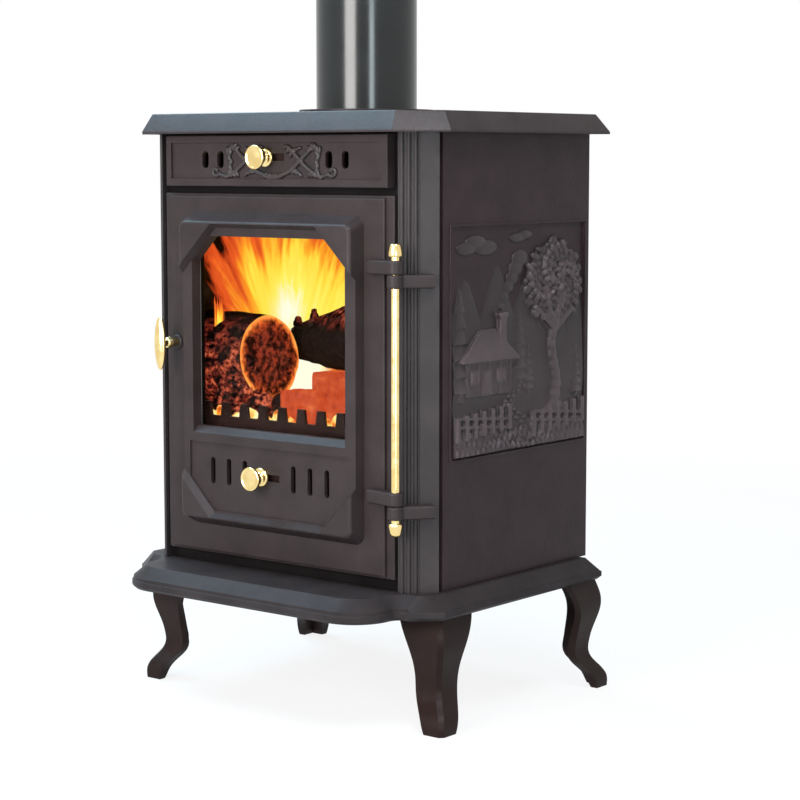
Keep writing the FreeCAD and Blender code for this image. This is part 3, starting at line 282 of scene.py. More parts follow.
# Height in a relief as a share of the whole, and the share of the full colour there: painted shade darkens
# the relief's hollows and leaves its raised parts lighter as a painted highlight
RELIEF_SHADE_STOPS = ((0.0, 0.36), (0.4, 0.5), (1.0, 1.0))


def cast_iron(name, dark, light, gloss, shade_by_height=None):
    made, tree, shader = finish(name)
    where = coords(tree)
    clouding = noise(tree, where, scale=22, detail=5, rough=0.6)
    grain = noise(tree, where, scale=950, detail=2, rough=0.6)
    pebble = noise(tree, where, scale=240, detail=3, rough=0.5)
    colour = ramp(tree, clouding, (0.3, dark), (0.7, light))
    # Painted shade by height: the colour is darkened low in a relief, near its root, as a painted shadow in
    # the hollows
    if shade_by_height:
        colour = tint(tree, colour, ramp(tree, raised_share(tree, *shade_by_height), *RELIEF_SHADE_STOPS))
    link(tree, colour, shader.inputs["Base Color"])
    link(tree, ramp(tree, pebble, (0.3, 0.36), (0.7, 0.46)), shader.inputs["Roughness"])
    bump(tree, shader, (pebble, 0.18, 0.0009), (grain, 0.28, 0.0004))
    shader.inputs["Specular IOR Level"].default_value = gloss
    return made


def brass():
    made, tree, shader = finish("polished_brass")
    tarnish = noise(tree, coords(tree), scale=70, detail=4)
    lines = noise(tree, coords(tree, scale=(1, 1, 9)), scale=500, detail=2)
    colour = ramp(tree, tarnish, (0.35, (0.84, 0.62, 0.25)), (0.65, (0.92, 0.73, 0.35)))
    link(tree, colour, shader.inputs["Base Color"])
    link(tree, ramp(tree, tarnish, (0.3, 0.12), (0.75, 0.24)), shader.inputs["Roughness"])
    bump(tree, shader, (lines, 0.05, 0.0002))
    shader.inputs["Metallic"].default_value = 1
    return made


def flue_enamel():
    made, tree, shader = finish("flue_enamel")
    where = coords(tree)
    bloom = noise(tree, where, scale=9, detail=4)
    peel = noise(tree, where, scale=160, detail=2)
    colour = ramp(tree, bloom, (0.3, (0.004, 0.005, 0.005)), (0.7, (0.009, 0.011, 0.011)))
    link(tree, colour, shader.inputs["Base Color"])
    link(tree, ramp(tree, bloom, (0.3, 0.17), (0.7, 0.24)), shader.inputs["Roughness"])
    bump(tree, shader, (peel, 0.03, 0.0005))
    shader.inputs["Specular IOR Level"].default_value = 0.42
    return made


def stove_glass():
    made, tree, shader = finish("stove_glass")
    smoke = noise(tree, coords(tree), scale=12, detail=4)
    colour = ramp(tree, smoke, (0.4, (1.0, 0.99, 0.97)), (0.75, (0.93, 0.9, 0.85)))
    link(tree, colour, shader.inputs["Base Color"])
    link(tree, ramp(tree, smoke, (0.45, 0.0), (0.8, 0.03)), shader.inputs["Roughness"])
    shader.inputs["Transmission Weight"].default_value = 1
    shader.inputs["IOR"].default_value = 1.05
    return made


def ceramic_fibre():
    made, tree, shader = finish("ceramic_fibre")
    twist = coords(tree, turn=(0.6, 0.5, 0.6))
    wave = tree.nodes.new("ShaderNodeTexWave")
    wave.inputs["Scale"].default_value = 120
    wave.inputs["Distortion"].default_value = 1.5
    link(tree, twist, wave.inputs["Vector"])
    strands = wave.outputs["Fac"]
    fluff = noise(tree, twist, scale=700, detail=3)
    colour = ramp(tree, strands, (0.1, (0.16, 0.15, 0.14)), (0.8, (0.42, 0.4, 0.37)))
    link(tree, colour, shader.inputs["Base Color"])
    bump(tree, shader, (strands, 0.6, 0.001), (fluff, 0.4, 0.0004))
    shader.inputs["Roughness"].default_value = 0.95
    return made


def fire_brick():
    made, tree, shader = finish("sooted_fire_brick")
    where = coords(tree)
    soot = noise(tree, where, scale=16, detail=5, rough=0.6)
    grit = noise(tree, where, scale=420, detail=3, rough=0.6)
    colour = ramp(tree, soot, (0.35, (0.006, 0.005, 0.004)), (0.72, (0.045, 0.032, 0.024)))
    link(tree, colour, shader.inputs["Base Color"])
    link(tree, ramp(tree, grit, (0.3, 0.85), (0.7, 0.97)), shader.inputs["Roughness"])
    bump(tree, shader, (grit, 0.5, 0.0008))
    shader.inputs["Specular IOR Level"].default_value = 0.05
    return made


def plain_steel():
    made, tree, shader = finish("plain_steel")
    brushed = noise(tree, coords(tree, scale=(1, 1, 14)), scale=160, detail=4)
    stain = noise(tree, coords(tree), scale=30, detail=4)
    colour = ramp(tree, stain, (0.3, (0.16, 0.155, 0.15)), (0.7, (0.3, 0.29, 0.28)))
    link(tree, colour, shader.inputs["Base Color"])
    link(tree, ramp(tree, brushed, (0.3, 0.34), (0.7, 0.5)), shader.inputs["Roughness"])
    bump(tree, shader, (brushed, 0.12, 0.0003))
    shader.inputs["Metallic"].default_value = 1
    return made


# Copies of the cast iron, recoloured to the tone the light gives each part: painted shade on the legs, log
# guard and air slides and on the side panels, painted light on the base plate and the columns, and
# near-black painted shadow on the front frame in its recess
SHADED_LEG_IRON = cast_iron("leg_iron", (0.0105, 0.0052, 0.0044), (0.0165, 0.0085, 0.0073), 0.1)
LIT_BASE_IRON = cast_iron("base_iron", (0.0195, 0.0158, 0.016), (0.03, 0.0245, 0.0248), 0.05)
SHADED_SIDE_IRON = cast_iron("side_iron", (0.0165, 0.0095, 0.0105), (0.0255, 0.015, 0.0165), 0.13)
LIT_COLUMN_IRON = cast_iron("column_iron", (0.0205, 0.0163, 0.0163), (0.0315, 0.0253, 0.0253), 0.16)
PAINTED_SHADE_IRON = cast_iron("shade_iron", (0.0045, 0.0036, 0.0038), (0.0075, 0.006, 0.0063), 0.06)
SLOT_FINISHES = {
    "cast_iron": cast_iron("cast_iron", (0.019, 0.0133, 0.0131), (0.029, 0.0207, 0.0204), 0.16),
    "polished_brass": brass(),
    "flue_enamel": flue_enamel(),
    "stove_glass": stove_glass(),
    "ceramic_fibre": ceramic_fibre(),
    "fire_brick": fire_brick(),
    "steel": plain_steel(),
}
# Parts that get the lit and shaded copies of the iron, as painted light and shade
NODE_FINISHES = {
    "base_plate": LIT_BASE_IRON,
    "corner_column_left": LIT_COLUMN_IRON,
    "corner_column_right": LIT_COLUMN_IRON,
    "front_frame": PAINTED_SHADE_IRON,
    "log_guard": SHADED_LEG_IRON,
    "lower_air_slide": SHADED_LEG_IRON,
    "side_panel_left": SHADED_SIDE_IRON,
    "side_panel_right": SHADED_SIDE_IRON,
    "upper_air_slide": SHADED_LEG_IRON,
}


def finish_of(node):
    if node.startswith("leg_") and SLOTS[node] == "cast_iron":
        return SHADED_LEG_IRON
    return NODE_FINISHES.get(node, SLOT_FINISHES[SLOTS[node]])


for node, cad in frame["nodes"].items():
    cad.data.materials.clear()
    cad.data.materials.append(finish_of(node))


# Castings with softened arrises

GLASS_LAP = 0.009
CAP_STEP = 0.009
SILL_DROP = 0.008
NEARLY = 0.0002
WELD = 0.00002
FLAT_ANGLE = math.radians(0.4)
ARRIS_ANGLE = math.radians(38)
CAST_SMOOTH = 32
# Width of the bevel on each casting's arrises
SOFT_EDGES = {
    "base_plate": 0.0012, "top_plate": 0.0012, "corner_column_left": 0.0006, "corner_column_right": 0.0006,
    "side_panel_left": 0.0007, "side_panel_right": 0.0007, "rear_panel": 0.0008, "upper_front_panel": 0.0006,
    "door_casting": 0.0008, "door_arm_upper": 0.0016, "door_arm_lower": 0.0016,
    "hinge_bracket_upper": 0.0016, "hinge_bracket_lower": 0.0016, "leg_front_left": 0.0012,
    "leg_front_right": 0.0012, "leg_rear_left": 0.0012, "leg_rear_right": 0.0012, "flue_collar": 0.0008,
    "log_guard": 0.0008, "handle_rosette": 0.0006, "front_frame": 0.0006, "hinge_rod": 0, "handle_grip": 0,
    "handle_spindle": 0, "flue_pipe": 0,
}


def slope_sill(door):
    sill_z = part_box("door_glass")[0].z + GLASS_LAP
    front_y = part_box("door_casting")[0].y + CAP_STEP
    edit_faces(door, lambda face: face.normal.z > 0.99 and abs(face.center.z - sill_z) < NEARLY)
    bpy.ops.mesh.bisect(plane_co=(0, front_y + SILL_DROP, sill_z), plane_no=(0, 1, 0))
    edit_corners(door, lambda corner: max(abs(corner.co.z - sill_z), abs(corner.co.y - front_y)) < NEARLY)
    bpy.ops.transform.translate(value=(0, 0, -SILL_DROP))
    leave_edit()


def casting(node, round_by):
    made = bpy.data.objects.new(node + "_cast", frame["nodes"][node].data.copy())
    scene.collection.objects.link(made)
    edit_all(made)
    bpy.ops.mesh.customdata_custom_splitnormals_clear()
    bpy.ops.mesh.remove_doubles(threshold=WELD)
    bpy.ops.mesh.dissolve_limited(angle_limit=FLAT_ANGLE)
    leave_edit()
    if node == "door_casting":
        slope_sill(made)
    if round_by:
        apply_modifier(made, "BEVEL", width=round_by, segments=2, limit_method="ANGLE",
                       angle_limit=ARRIS_ANGLE)
    smooth(made, CAST_SMOOTH)
    apply_modifier(made, "WEIGHTED_NORMAL", keep_sharp=True)
    stand_in(made, node, "_cast")


for node, width in SOFT_EDGES.items():
    casting(node, width)


# Turned knobs and finials

KNOB_SIDES, FINIAL_SIDES = 72, 56
TURNED_SMOOTH = 50
# Radius and distance from the front, in millimetres. The rim is rolled.
KNOB_FACE = (3, 0)
KNOB_PROFILE = (
    (6, 0.5), (9, 1.0), (10.6, 1.3), (11.6, 1.1), (12.6, 0.3), (13.5, 0.3), (14.3, 1.0), (14.7, 2.3),
    (14.5, 3.8), (13.2, 5.2), (10.2, 6.6), (7.2, 8.4), (5.9, 10.4), (5.5, 12.6), (5.6, 15.0), (6.6, 16.6),
    (9.2, 17.7), (11.4, 18.5), (12, 19.6), (12, 21.8), (4, 22),
)
KNOB_BOLT_RADIUS = 4
# Radius and distance from the open end, in millimetres. The turning starts at the bottom of the rod's bore.
FINIAL_BORE = (5.05, 8)
FINIAL_PROFILE = (
    (5.05, 0), (6.9, 0), (7.8, 0.4), (8.25, 1.4), (8.3, 3.0), (8.1, 5.4), (7.5, 8.4), (6.9, 11.2),
    (6.4, 13.2), (5.6, 14.4), (4.2, 15.1), (2.2, 15.45), (0.4, 15.5),
)


def turned(node, start, along, sides, first, profile):
    before_radius, before_run = first
    centre = [place + way * before_run * MM for place, way in zip(start, along)]
    bpy.ops.mesh.primitive_circle_add(vertices=sides, radius=before_radius * MM, fill_type="NGON",
                                      location=centre)
    made = bpy.context.object
    enter_edit()
    if along[1]:
        bpy.ops.transform.rotate(value=math.pi / 2, orient_axis="X", center_override=centre)
    for radius, run in profile:
        step = (run - before_run) * MM
        share = radius / before_radius
        bpy.ops.mesh.extrude_region_move(TRANSFORM_OT_translate={"value": [step * way for way in along]})
        bpy.ops.transform.resize(value=[1 if way else share for way in along], center_override=centre)
        before_radius, before_run = radius, run
    face_outward(made)
    smooth(made, TURNED_SMOOTH)
    stand_in(made, node, "_turned")


def turned_knob(node):
    low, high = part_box(node)
    start = ((low.x + high.x) / 2, low.y, (low.z + high.z) / 2)
    bolt_end = (KNOB_BOLT_RADIUS, (high.y - low.y) / MM)
    turned(node, start, (0, 1, 0), KNOB_SIDES, KNOB_FACE, (*KNOB_PROFILE, bolt_end))


def turned_finial(node, upward):
    low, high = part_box(node)
    start = ((low.x + high.x) / 2, (low.y + high.y) / 2, low.z if upward > 0 else high.z)
    turned(node, start, (0, 0, upward), FINIAL_SIDES, FINIAL_BORE, FINIAL_PROFILE)


turned_knob("upper_air_knob")
turned_knob("lower_air_knob")
turned_finial("hinge_finial_upper", 1)
turned_finial("hinge_finial_lower", -1)


# Relief of a wooded valley on the side panels

# The sunk field's distance from the stove's middle, its ends behind the door's flat, its foot and its head
FIELD = 0.22
FIELD_LEFT, FIELD_RIGHT = 0.0605, 0.328
FIELD_FOOT, FIELD_HEAD = 0.3205, 0.585
RELIEF_ROOM = 0.02
RELIEF_ROOT = 0.0003
RELIEF_STRETCH = 1.12
RELIEF_VOXEL = 0.0011
RELIEF_SMOOTH = 60
# Distance behind the door's flat, foot, half width, height and relief
MOUNTAINS = (
    (0.088, 0.4, 0.07, 0.125, 0.0034), (0.15, 0.4, 0.075, 0.14, 0.0028), (0.205, 0.4, 0.07, 0.118, 0.0036),
    (0.26, 0.4, 0.08, 0.13, 0.003), (0.315, 0.4, 0.06, 0.115, 0.0036),
)
# Distance behind the door's flat, middle, half width, half height and relief
HILLS = (
    (0.1, 0.404, 0.09, 0.036, 0.0036), (0.2, 0.4, 0.09, 0.04, 0.0032), (0.3, 0.404, 0.08, 0.04, 0.0036),
    (0.11, 0.325, 0.15, 0.062, 0.0042), (0.26, 0.318, 0.15, 0.075, 0.0046), (0.08, 0.314, 0.13, 0.04, 0.006),
    (0.3, 0.31, 0.12, 0.045, 0.0066),
)
CLOUDS = (
    (0.088, 0.562, 0.02, 0.008, 0.003), (0.106, 0.57, 0.02, 0.008, 0.0038),
    (0.126, 0.5625, 0.024, 0.0096, 0.003), (0.19, 0.572, 0.016, 0.0064, 0.003),
    (0.206, 0.5755, 0.015, 0.006, 0.0034),
)
# Distance behind the door's flat, foot, height and relief
FIRS = (
    (0.0745, 0.384, 0.13, 0.0062), (0.193, 0.396, 0.095, 0.0054), (0.21, 0.384, 0.068, 0.0064),
    (0.312, 0.372, 0.075, 0.0064),
)
GOLDEN_ANGLE = 2.39996


def lump(along, z, wide, tall, high, turn=0.0):
    middle = (FIELD, depth(along), z)
    bpy.ops.mesh.primitive_uv_sphere_add(segments=20, ring_count=12, radius=1, location=middle)
    made = bpy.context.object
    enter_edit()
    bpy.ops.transform.resize(value=(high, wide, tall))
    bpy.ops.transform.rotate(value=turn, orient_axis="X", center_override=middle)
    return in_place(made)


def plank(along, z, wide, tall, high, turn=0.0):
    middle = (FIELD, depth(along), z)
    bpy.ops.mesh.primitive_cube_add(size=2, location=middle)
    made = bpy.context.object
    enter_edit()
    bpy.ops.transform.resize(value=(high, wide / 2, tall / 2))
    bpy.ops.mesh.bevel(offset=0.0006, segments=1, affect="EDGES")
    bpy.ops.transform.rotate(value=turn, orient_axis="X", center_override=middle)
    return in_place(made)


def tier(along, foot, wide, tall, high):
    bpy.ops.mesh.primitive_cone_add(vertices=14, radius1=1, radius2=0.06, depth=1,
                                    location=(FIELD, depth(along), foot + tall / 2))
    made = bpy.context.object
    enter_edit()
    bpy.ops.mesh.bevel(offset=0.05, segments=2, affect="EDGES")
    bpy.ops.mesh.select_all(action="SELECT")
    bpy.ops.transform.resize(value=(high, wide, tall))
    return in_place(made)


def fir(along, foot, tall, high):
    made = [plank(along, foot + tall * 0.06, tall * 0.08, tall * 0.14, high * 0.7)]
    for step in range(6):
        tier_foot = foot + tall * (0.08 + 0.145 * step)
        tier_wide = tall * (0.25 - 0.034 * step)
        made.append(tier(along, tier_foot, tier_wide, tall * 0.24, high * (1 - 0.09 * step)))
    return made


def cottage(along, foot):
    wall_wide, wall_tall = 0.088, 0.042
    wall_z = foot + wall_tall / 2
    made = [plank(along, wall_z, wall_wide, wall_tall, 0.0046)]
    for beam in range(-2, 3):
        made.append(plank(along + 0.021 * beam, wall_z, 0.0042, wall_tall, 0.0056))
    for row in range(14):
        row_z = foot + 0.0425 + row * 0.0027
        made.append(plank(along, row_z, 0.114 - row * 0.0065, 0.0036, 0.0086 - row * 0.0003))
    chimney = along + 0.026
    made.append(plank(chimney, foot + 0.076, 0.012, 0.036, 0.007))
    made.append(plank(chimney, foot + 0.0945, 0.0165, 0.0055, 0.0082))
    doorway = along - 0.005
    made.append(plank(doorway, foot + 0.0145, 0.018, 0.029, 0.0062))
    made.append(plank(doorway, foot + 0.0145, 0.0125, 0.0235, 0.0072))
    for window in (along - 0.0285, along + 0.0235):
        made.append(plank(window, foot + 0.0225, 0.0165, 0.0165, 0.0062))
        for pane in (-1, 1):
            made.append(plank(window + 0.0042 * pane, foot + 0.0225, 0.0062, 0.0135, 0.0074))
    for puff in range(6):
        puff_z = foot + 0.104 + 0.011 * puff
        puff_tall = 0.0052 + 0.0012 * puff
        made.append(lump(chimney + 0.002 + 0.008 * puff, puff_z, 0.0062 + 0.0022 * puff, puff_tall, 0.0036))
    return made


def leafy_tree(along, foot):
    made = []
    for step in range(9):
        bend = 0.005 * math.sin(step * 0.8)
        made.append(lump(along + bend, foot + 0.0125 * step, 0.0125 - 0.0007 * step, 0.012, 0.0074))
    for root in (-1, 1):
        made.append(plank(along + root * 0.014, foot - 0.002, 0.026, 0.007, 0.0062, root * 0.5))
    for side, reach, rise in ((-1, 0.042, 0.03), (1, 0.038, 0.026), (-1, 0.022, 0.05), (1, 0.016, 0.05)):
        length = math.hypot(reach, rise)
        slope = -side * math.atan2(rise, reach)
        made.append(plank(along + side * reach / 2, foot + 0.092 + rise / 2, length, 0.0065, 0.0064, slope))
    crown_z, crown_reach, leaves = foot + 0.15, 0.056, 110
    for turn in range(leaves):
        angle = turn * GOLDEN_ANGLE
        reach = crown_reach * math.sqrt((turn + 0.5) / leaves)
        size = 0.0062 + 0.0017 * math.sin(turn * 1.7)
        high = 0.0086 - 0.055 * reach + 0.0016 * math.sin(turn * 2.9)
        leaf_along = along + reach * 1.06 * math.cos(angle)
        leaf_z = crown_z + reach * 0.9 * math.sin(angle)
        made.append(lump(leaf_along, leaf_z, size * 1.15, size * 0.8, high, angle * 0.7))
    return made


def fence(start, end, foot_start, foot_end, posts):
    made = []
    run, climb = end - start, foot_end - foot_start
    for post in range(posts):
        share = post / (posts - 1)
        made.append(plank(start + share * run, foot_start + share * climb + 0.01, 0.0066, 0.031, 0.0078))
    for rise in (0.0055, 0.0155):
        rail_z = (foot_start + foot_end) / 2 + rise
        made.append(plank((start + end) / 2, rail_z, math.hypot(run, climb), 0.0046, 0.0066,
                          math.atan2(climb, run)))
    return made


def path_stones():
    made = []
    for step in range(14):
        middle = 0.19 + 0.022 * math.sin(step * 0.5)
        spread = 0.0115 - 0.0006 * step
        for side in (-1, 1):
            made.append(lump(middle + side * spread, 0.324 + 0.0054 * step, 0.0062 - 0.0002 * step, 0.0034,
                             0.0074 - 0.00015 * step))
    return made


def grass():
    made = []
    for tuft in range(78):
        row = tuft % 3
        tuft_z = 0.3245 + 0.0085 * row + 0.003 * math.sin(tuft * 1.9)
        made.append(lump(0.064 + 0.0034 * tuft, tuft_z, 0.0024, 0.0075, 0.0082 - 0.0006 * row,
                         0.4 * math.sin(tuft * 2.7)))
    return made


def field_room():
    middle = (FIELD + RELIEF_ROOM / 2 - RELIEF_ROOT, depth((FIELD_LEFT + FIELD_RIGHT) / 2),
              (FIELD_FOOT + FIELD_HEAD) / 2)
    bpy.ops.mesh.primitive_cube_add(size=1, location=middle)
    made = bpy.context.object
    enter_edit()
    bpy.ops.transform.resize(value=(RELIEF_ROOM, FIELD_RIGHT - FIELD_LEFT, FIELD_HEAD - FIELD_FOOT))
    return in_place(made)


def side_relief():
    made = [tier(*mountain) for mountain in MOUNTAINS]
    made += [lump(*hill) for hill in HILLS]
    made += path_stones()
    made += cottage(0.128, 0.388)
    for place in FIRS:
        made += fir(*place)
    made += leafy_tree(0.264, 0.366)
    made += fence(0.066, 0.168, 0.342, 0.35, 7)
    made += fence(0.218, 0.322, 0.336, 0.346, 7)
    made += [lump(*cloud) for cloud in CLOUDS]
    made += grass()
    whole = join(made)
    edit_all(whole)
    bpy.ops.transform.resize(value=(RELIEF_STRETCH, 1, 1), center_override=(FIELD, 0, 0))
    leave_edit()
    apply_modifier(whole, "REMESH", mode="VOXEL", voxel_size=RELIEF_VOXEL)
    edit_all(whole)
    bpy.ops.mesh.vertices_smooth(factor=0.5, repeat=1)
    leave_edit()
    room = field_room()
    apply_modifier(whole, "BOOLEAN", object=room, operation="INTERSECT", solver="MANIFOLD")
    bpy.data.objects.remove(room)
    smooth(whole, RELIEF_SMOOTH)
    return whole


right_relief = side_relief()
left_relief = copy_of(right_relief)
edit_all(left_relief)
bpy.ops.transform.resize(value=(-1, 1, 1), center_override=(0, 0, 0))
face_outward(left_relief)
# A lighter copy of the iron as a painted highlight on the relief, with painted shade in its hollows by
# height
LIT_RELIEF_IRON = cast_iron("relief_iron", (0.047, 0.033, 0.034), (0.066, 0.047, 0.0485), 0.22,
                        ("X", FIELD + 0.001, FIELD + 0.0085))
settle(right_relief, "valley_relief_right", "stove", LIT_RELIEF_IRON)
settle(left_relief, "valley_relief_left", "stove", LIT_RELIEF_IRON)


# Foliate ornament on the upper panel

PANEL_SINK = 0.003
ORNAMENT_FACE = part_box("upper_front_panel")[0].y + PANEL_SINK
ORNAMENT_Z = 0.6634
ORNAMENT_VOXEL = 0.0006
LEAF_RELIEF = 0.0034
THICK, THIN = 0.003, 0.0023
CURL = [(0.0925 + (0.0078 - 0.0011 * step) * math.cos(step * 1.05 + 3.4),
         -0.0125 + (0.0066 - 0.0009 * step) * math.sin(step * 1.05 + 3.4)) for step in range(7)]
# Stems of one half: thickness, then points counted outward and upward from the middle
STEMS = (
    (THICK, ((0.014, -0.017), (0.028, -0.0115), (0.044, 0.001), (0.058, 0.0125))),
    (THICK, ((0.024, 0.0165), (0.034, 0.0085), (0.05, -0.0055), (0.066, -0.0165))),
    (THIN, CURL),
    (THIN, ((0.066, -0.0165), (0.075, -0.0185), (0.0855, -0.0165))),
)
GARLAND = ((-0.016, -0.0165), (-0.008, -0.0192), (0.0, -0.0198), (0.008, -0.0192), (0.016, -0.0165))


def stem(points, thick):
    bpy.ops.curve.primitive_bezier_curve_add(location=(0, 0, 0))
    made = bpy.context.object
    spline = made.data.splines[0]
    spline.bezier_points.add(len(points) - 2)
    for knot, (x, z) in zip(spline.bezier_points, points):
        knot.co = (x, ORNAMENT_FACE - 0.0006, ORNAMENT_Z + z)
        knot.handle_left_type = "AUTO"
        knot.handle_right_type = "AUTO"
    made.data.bevel_depth = thick
    made.data.bevel_resolution = 3
    made.data.use_fill_caps = True
    take(made)
    bpy.ops.object.convert(target="MESH")
    return bpy.context.object


def leaf(x, z, length, wide, turn):
    middle = (x, ORNAMENT_FACE, ORNAMENT_Z + z)
    bpy.ops.mesh.primitive_uv_sphere_add(segments=14, ring_count=8, radius=1, location=middle)
    made = bpy.context.object
    enter_edit()
    bpy.ops.transform.resize(value=(length * 0.56, LEAF_RELIEF, wide * 0.64))
    bpy.ops.transform.rotate(value=turn, orient_axis="Y", center_override=middle)
    return in_place(made)


def half_leaves():
    made = []
    for step in range(5):
        turn = 1.1 if step % 2 else -1.1
        made.append((0.0585 + 0.0036 * step, 0.0145 + 0.0028 * math.sin(step * 1.2), 0.0115, 0.0046,
                     -0.5 - 0.32 * step))
        made.append((0.069 + 0.0012 * math.sin(step * 2), 0.0085 - 0.0056 * step, 0.0105, 0.0048, turn))
    for step in range(4):
        made.append((0.058 + 0.0052 * step, -0.0155 - 0.0012 * step, 0.0095, 0.0042, 0.9 - 0.45 * step))
    for step in range(3):
        made.append((0.0205 + 0.0042 * step, 0.0165 - 0.0042 * step, 0.0105, 0.0044, 0.2 + 0.5 * step))
        made.append((0.034 + 0.004 * step, -0.013 - 0.0012 * step, 0.0105, 0.0042, 0.35 - 0.5 * step))
        made.append((0.032 + 0.0045 * step, 0.0125 + 0.001 * step, 0.0095, 0.004, -0.5 + 0.4 * step))
    return made


def ornament():
    made = []
    for side in (-1, 1):
        for thick, points in STEMS:
            made.append(stem([(side * out, z) for out, z in points], thick))
        for out, z, length, wide, turn in half_leaves():
            made.append(leaf(side * out, z, length, wide, side * turn))
    made.append(stem(GARLAND, THICK))
    for step in range(5):
        made.append(leaf(-0.012 + 0.006 * step, -0.0175, 0.0085, 0.0042, 0.9 - 0.45 * step))
    whole = join(made)
    apply_modifier(whole, "REMESH", mode="VOXEL", voxel_size=ORNAMENT_VOXEL)
    edit_all(whole)
    bpy.ops.mesh.vertices_smooth(factor=0.5, repeat=2)
    bpy.ops.mesh.select_all(action="SELECT")
    bpy.ops.mesh.bisect(plane_co=(0, ORNAMENT_FACE + 0.0003, 0), plane_no=(0, -1, 0), use_fill=True,
                        clear_inner=True)
    leave_edit()
    smooth(whole, RELIEF_SMOOTH)
    return whole


# Painted shade round the ornament's root on the panel, lighter where it stands proud
SHADED_ORNAMENT_IRON = cast_iron("ornament_iron", (0.022, 0.016, 0.0155), (0.032, 0.0235, 0.023), 0.3,
                          ("Y", -ORNAMENT_FACE - 0.0003, -ORNAMENT_FACE + 0.0034))
settle(ornament(), "foliate_ornament", "stove", SHADED_ORNAMENT_IRON)


# Finishes of the fire

FLAME_STOPS = (
    (0.06, (1.0, 1.0, 0.8)), (0.22, (1.0, 0.88, 0.13)), (0.46, (1.0, 0.74, 0.06)),
    (0.62, (0.98, 0.36, 0.02)), (0.76, (0.8, 0.105, 0.016)), (1.0, (0.42, 0.03, 0.006)),
)
BARK_STOPS = ((0.03, (0.0, 0.0, 0.0)), (0.4, (0.2, 0.022, 0.012)), (0.95, (0.62, 0.13, 0.05)))
LOG_END_STOPS = (
    (0.1, (0.3, 0.035, 0.014)), (0.6, (0.22, 0.024, 0.01)), (0.84, (0.5, 0.06, 0.012)),
    (0.93, (0.95, 0.2, 0.028)), (1.0, (1.0, 0.4, 0.07)),
)
WHITE_HOT = (
    (0.36, (0.4, 0.04, 0.008)), (0.48, (1.0, 0.3, 0.03)), (0.6, (1.0, 0.72, 0.2)), (0.74, (1.0, 0.95, 0.6)),
)
RED_HOT = (
    (0.3, (0.36, 0.032, 0.01)), (0.44, (0.56, 0.06, 0.016)), (0.64, (0.68, 0.09, 0.022)),
    (0.9, (0.85, 0.2, 0.05)),
)


def flame_finish(name, seed, core, spread, rise, dim, edge, lean):
    made, tree, shader = finish(name)
    place = split(tree, coords(tree, "UV"))
    beside = sums(tree, "SUBTRACT", place["X"], core[0])
    above = sums(tree, "SUBTRACT", place["Y"], core[1])
    fan = sums(tree, "ARCTAN2", beside, sums(tree, "ADD", above, 0.55))
    far_beside = sums(tree, "POWER", sums(tree, "DIVIDE", beside, spread), 2)
    far_above = sums(tree, "POWER", sums(tree, "DIVIDE", above, rise), 2)
    reach = sums(tree, "SQRT", sums(tree, "ADD", far_beside, far_above))
    polar = tree.nodes.new("ShaderNodeCombineXYZ")
    link(tree, product(tree, fan, 3.4), polar.inputs["X"])
    link(tree, product(tree, reach, 0.75), polar.inputs["Y"])
    polar.inputs["Z"].default_value = seed
    tongues = noise(tree, polar.outputs["Vector"], scale=2.4, detail=3, rough=0.5, bend=0.5)
    wisps = noise(tree, polar.outputs["Vector"], scale=6.5, detail=2, rough=0.5, bend=0.3)
    stir = sums(tree, "ADD", swing(tree, tongues, 1.15), swing(tree, wisps, 0.5))
    flicker = product(tree, stir, sums(tree, "ADD", reach, 0.25))
    cool = sums(tree, "ADD", sums(tree, "ADD", reach, dim), flicker)
    glow(tree, shader, ramp(tree, cool, *FLAME_STOPS), strength=1.05, rough=1)
    shader.inputs["Base Color"].default_value = (0.02, 0.005, 0.001, 1)
    solid = ramp(tree, cool, (0.9, 1.0), (1.0, 0.0))
    feet = ramp(tree, place["Y"], (0.0, 0.0), (0.06, 1.0))
    slanted = sums(tree, "ADD", place["X"], product(tree, place["Y"], lean))
    ragged = sums(tree, "ADD", slanted, product(tree, stir, 0.08))
    near = ramp(tree, sums(tree, "SUBTRACT", ragged, edge), (0.0, 0.0), (0.12, 1.0))
    far = ramp(tree, place["X"], (0.8, 1.0), (1.0, 0.0))
    link(tree, product(tree, solid, feet, product(tree, near, far)), shader.inputs["Alpha"])
    return made


def burning_bark(name, strength, cold_z, hot_z):
    made, tree, shader = finish(name)
    ridges = cells(tree, coords(tree, scale=(0.4, 1, 1)), scale=95)
    patches = noise(tree, coords(tree), scale=60, detail=4, rough=0.6)
    crumbs = noise(tree, coords(tree), scale=170, detail=4, rough=0.65)
    colour = ramp(tree, crumbs, (0.35, (0.004, 0.003, 0.003)), (0.7, (0.022, 0.014, 0.011)))
    link(tree, colour, shader.inputs["Base Color"])
    hot_patches = ramp(tree, patches, (0.44, 0.0), (0.58, 1.0))
    hot_crumbs = ramp(tree, crumbs, (0.4, 0.0), (0.58, 1.0))
    hot = product(tree, hot_patches, hot_crumbs, raised_share(tree, "Z", cold_z, hot_z))
    glow(tree, shader, ramp(tree, hot, *BARK_STOPS), strength, rough=0.95)
    bump(tree, shader, (ridges, 0.8, 0.004), (crumbs, 0.6, 0.002))
    return made


def glowing_end():
    made, tree, shader = finish("glowing_log_end")
    crumbs = noise(tree, coords(tree), scale=60, detail=3, rough=0.6)
    cracks = noise(tree, coords(tree), scale=120, detail=4, rough=0.65)
    outward = sums(tree, "ADD", attribute(tree, "rim"), swing(tree, crumbs, 0.3))
    colour = ramp(tree, crumbs, (0.35, (0.006, 0.004, 0.003)), (0.7, (0.04, 0.018, 0.012)))
    link(tree, colour, shader.inputs["Base Color"])
    flecks = ramp(tree, cracks, (0.42, 0.03), (0.5, 0.3), (0.6, 1.0))
    bright = ramp(tree, outward, (0.84, 0.0), (0.95, 1.0))
    shown = sums(tree, "MAXIMUM", flecks, bright)
    glow(tree, shader, tint(tree, ramp(tree, outward, *LOG_END_STOPS), shown), strength=1.1, rough=0.95)
    bump(tree, shader, (cracks, 0.6, 0.003))
    return made


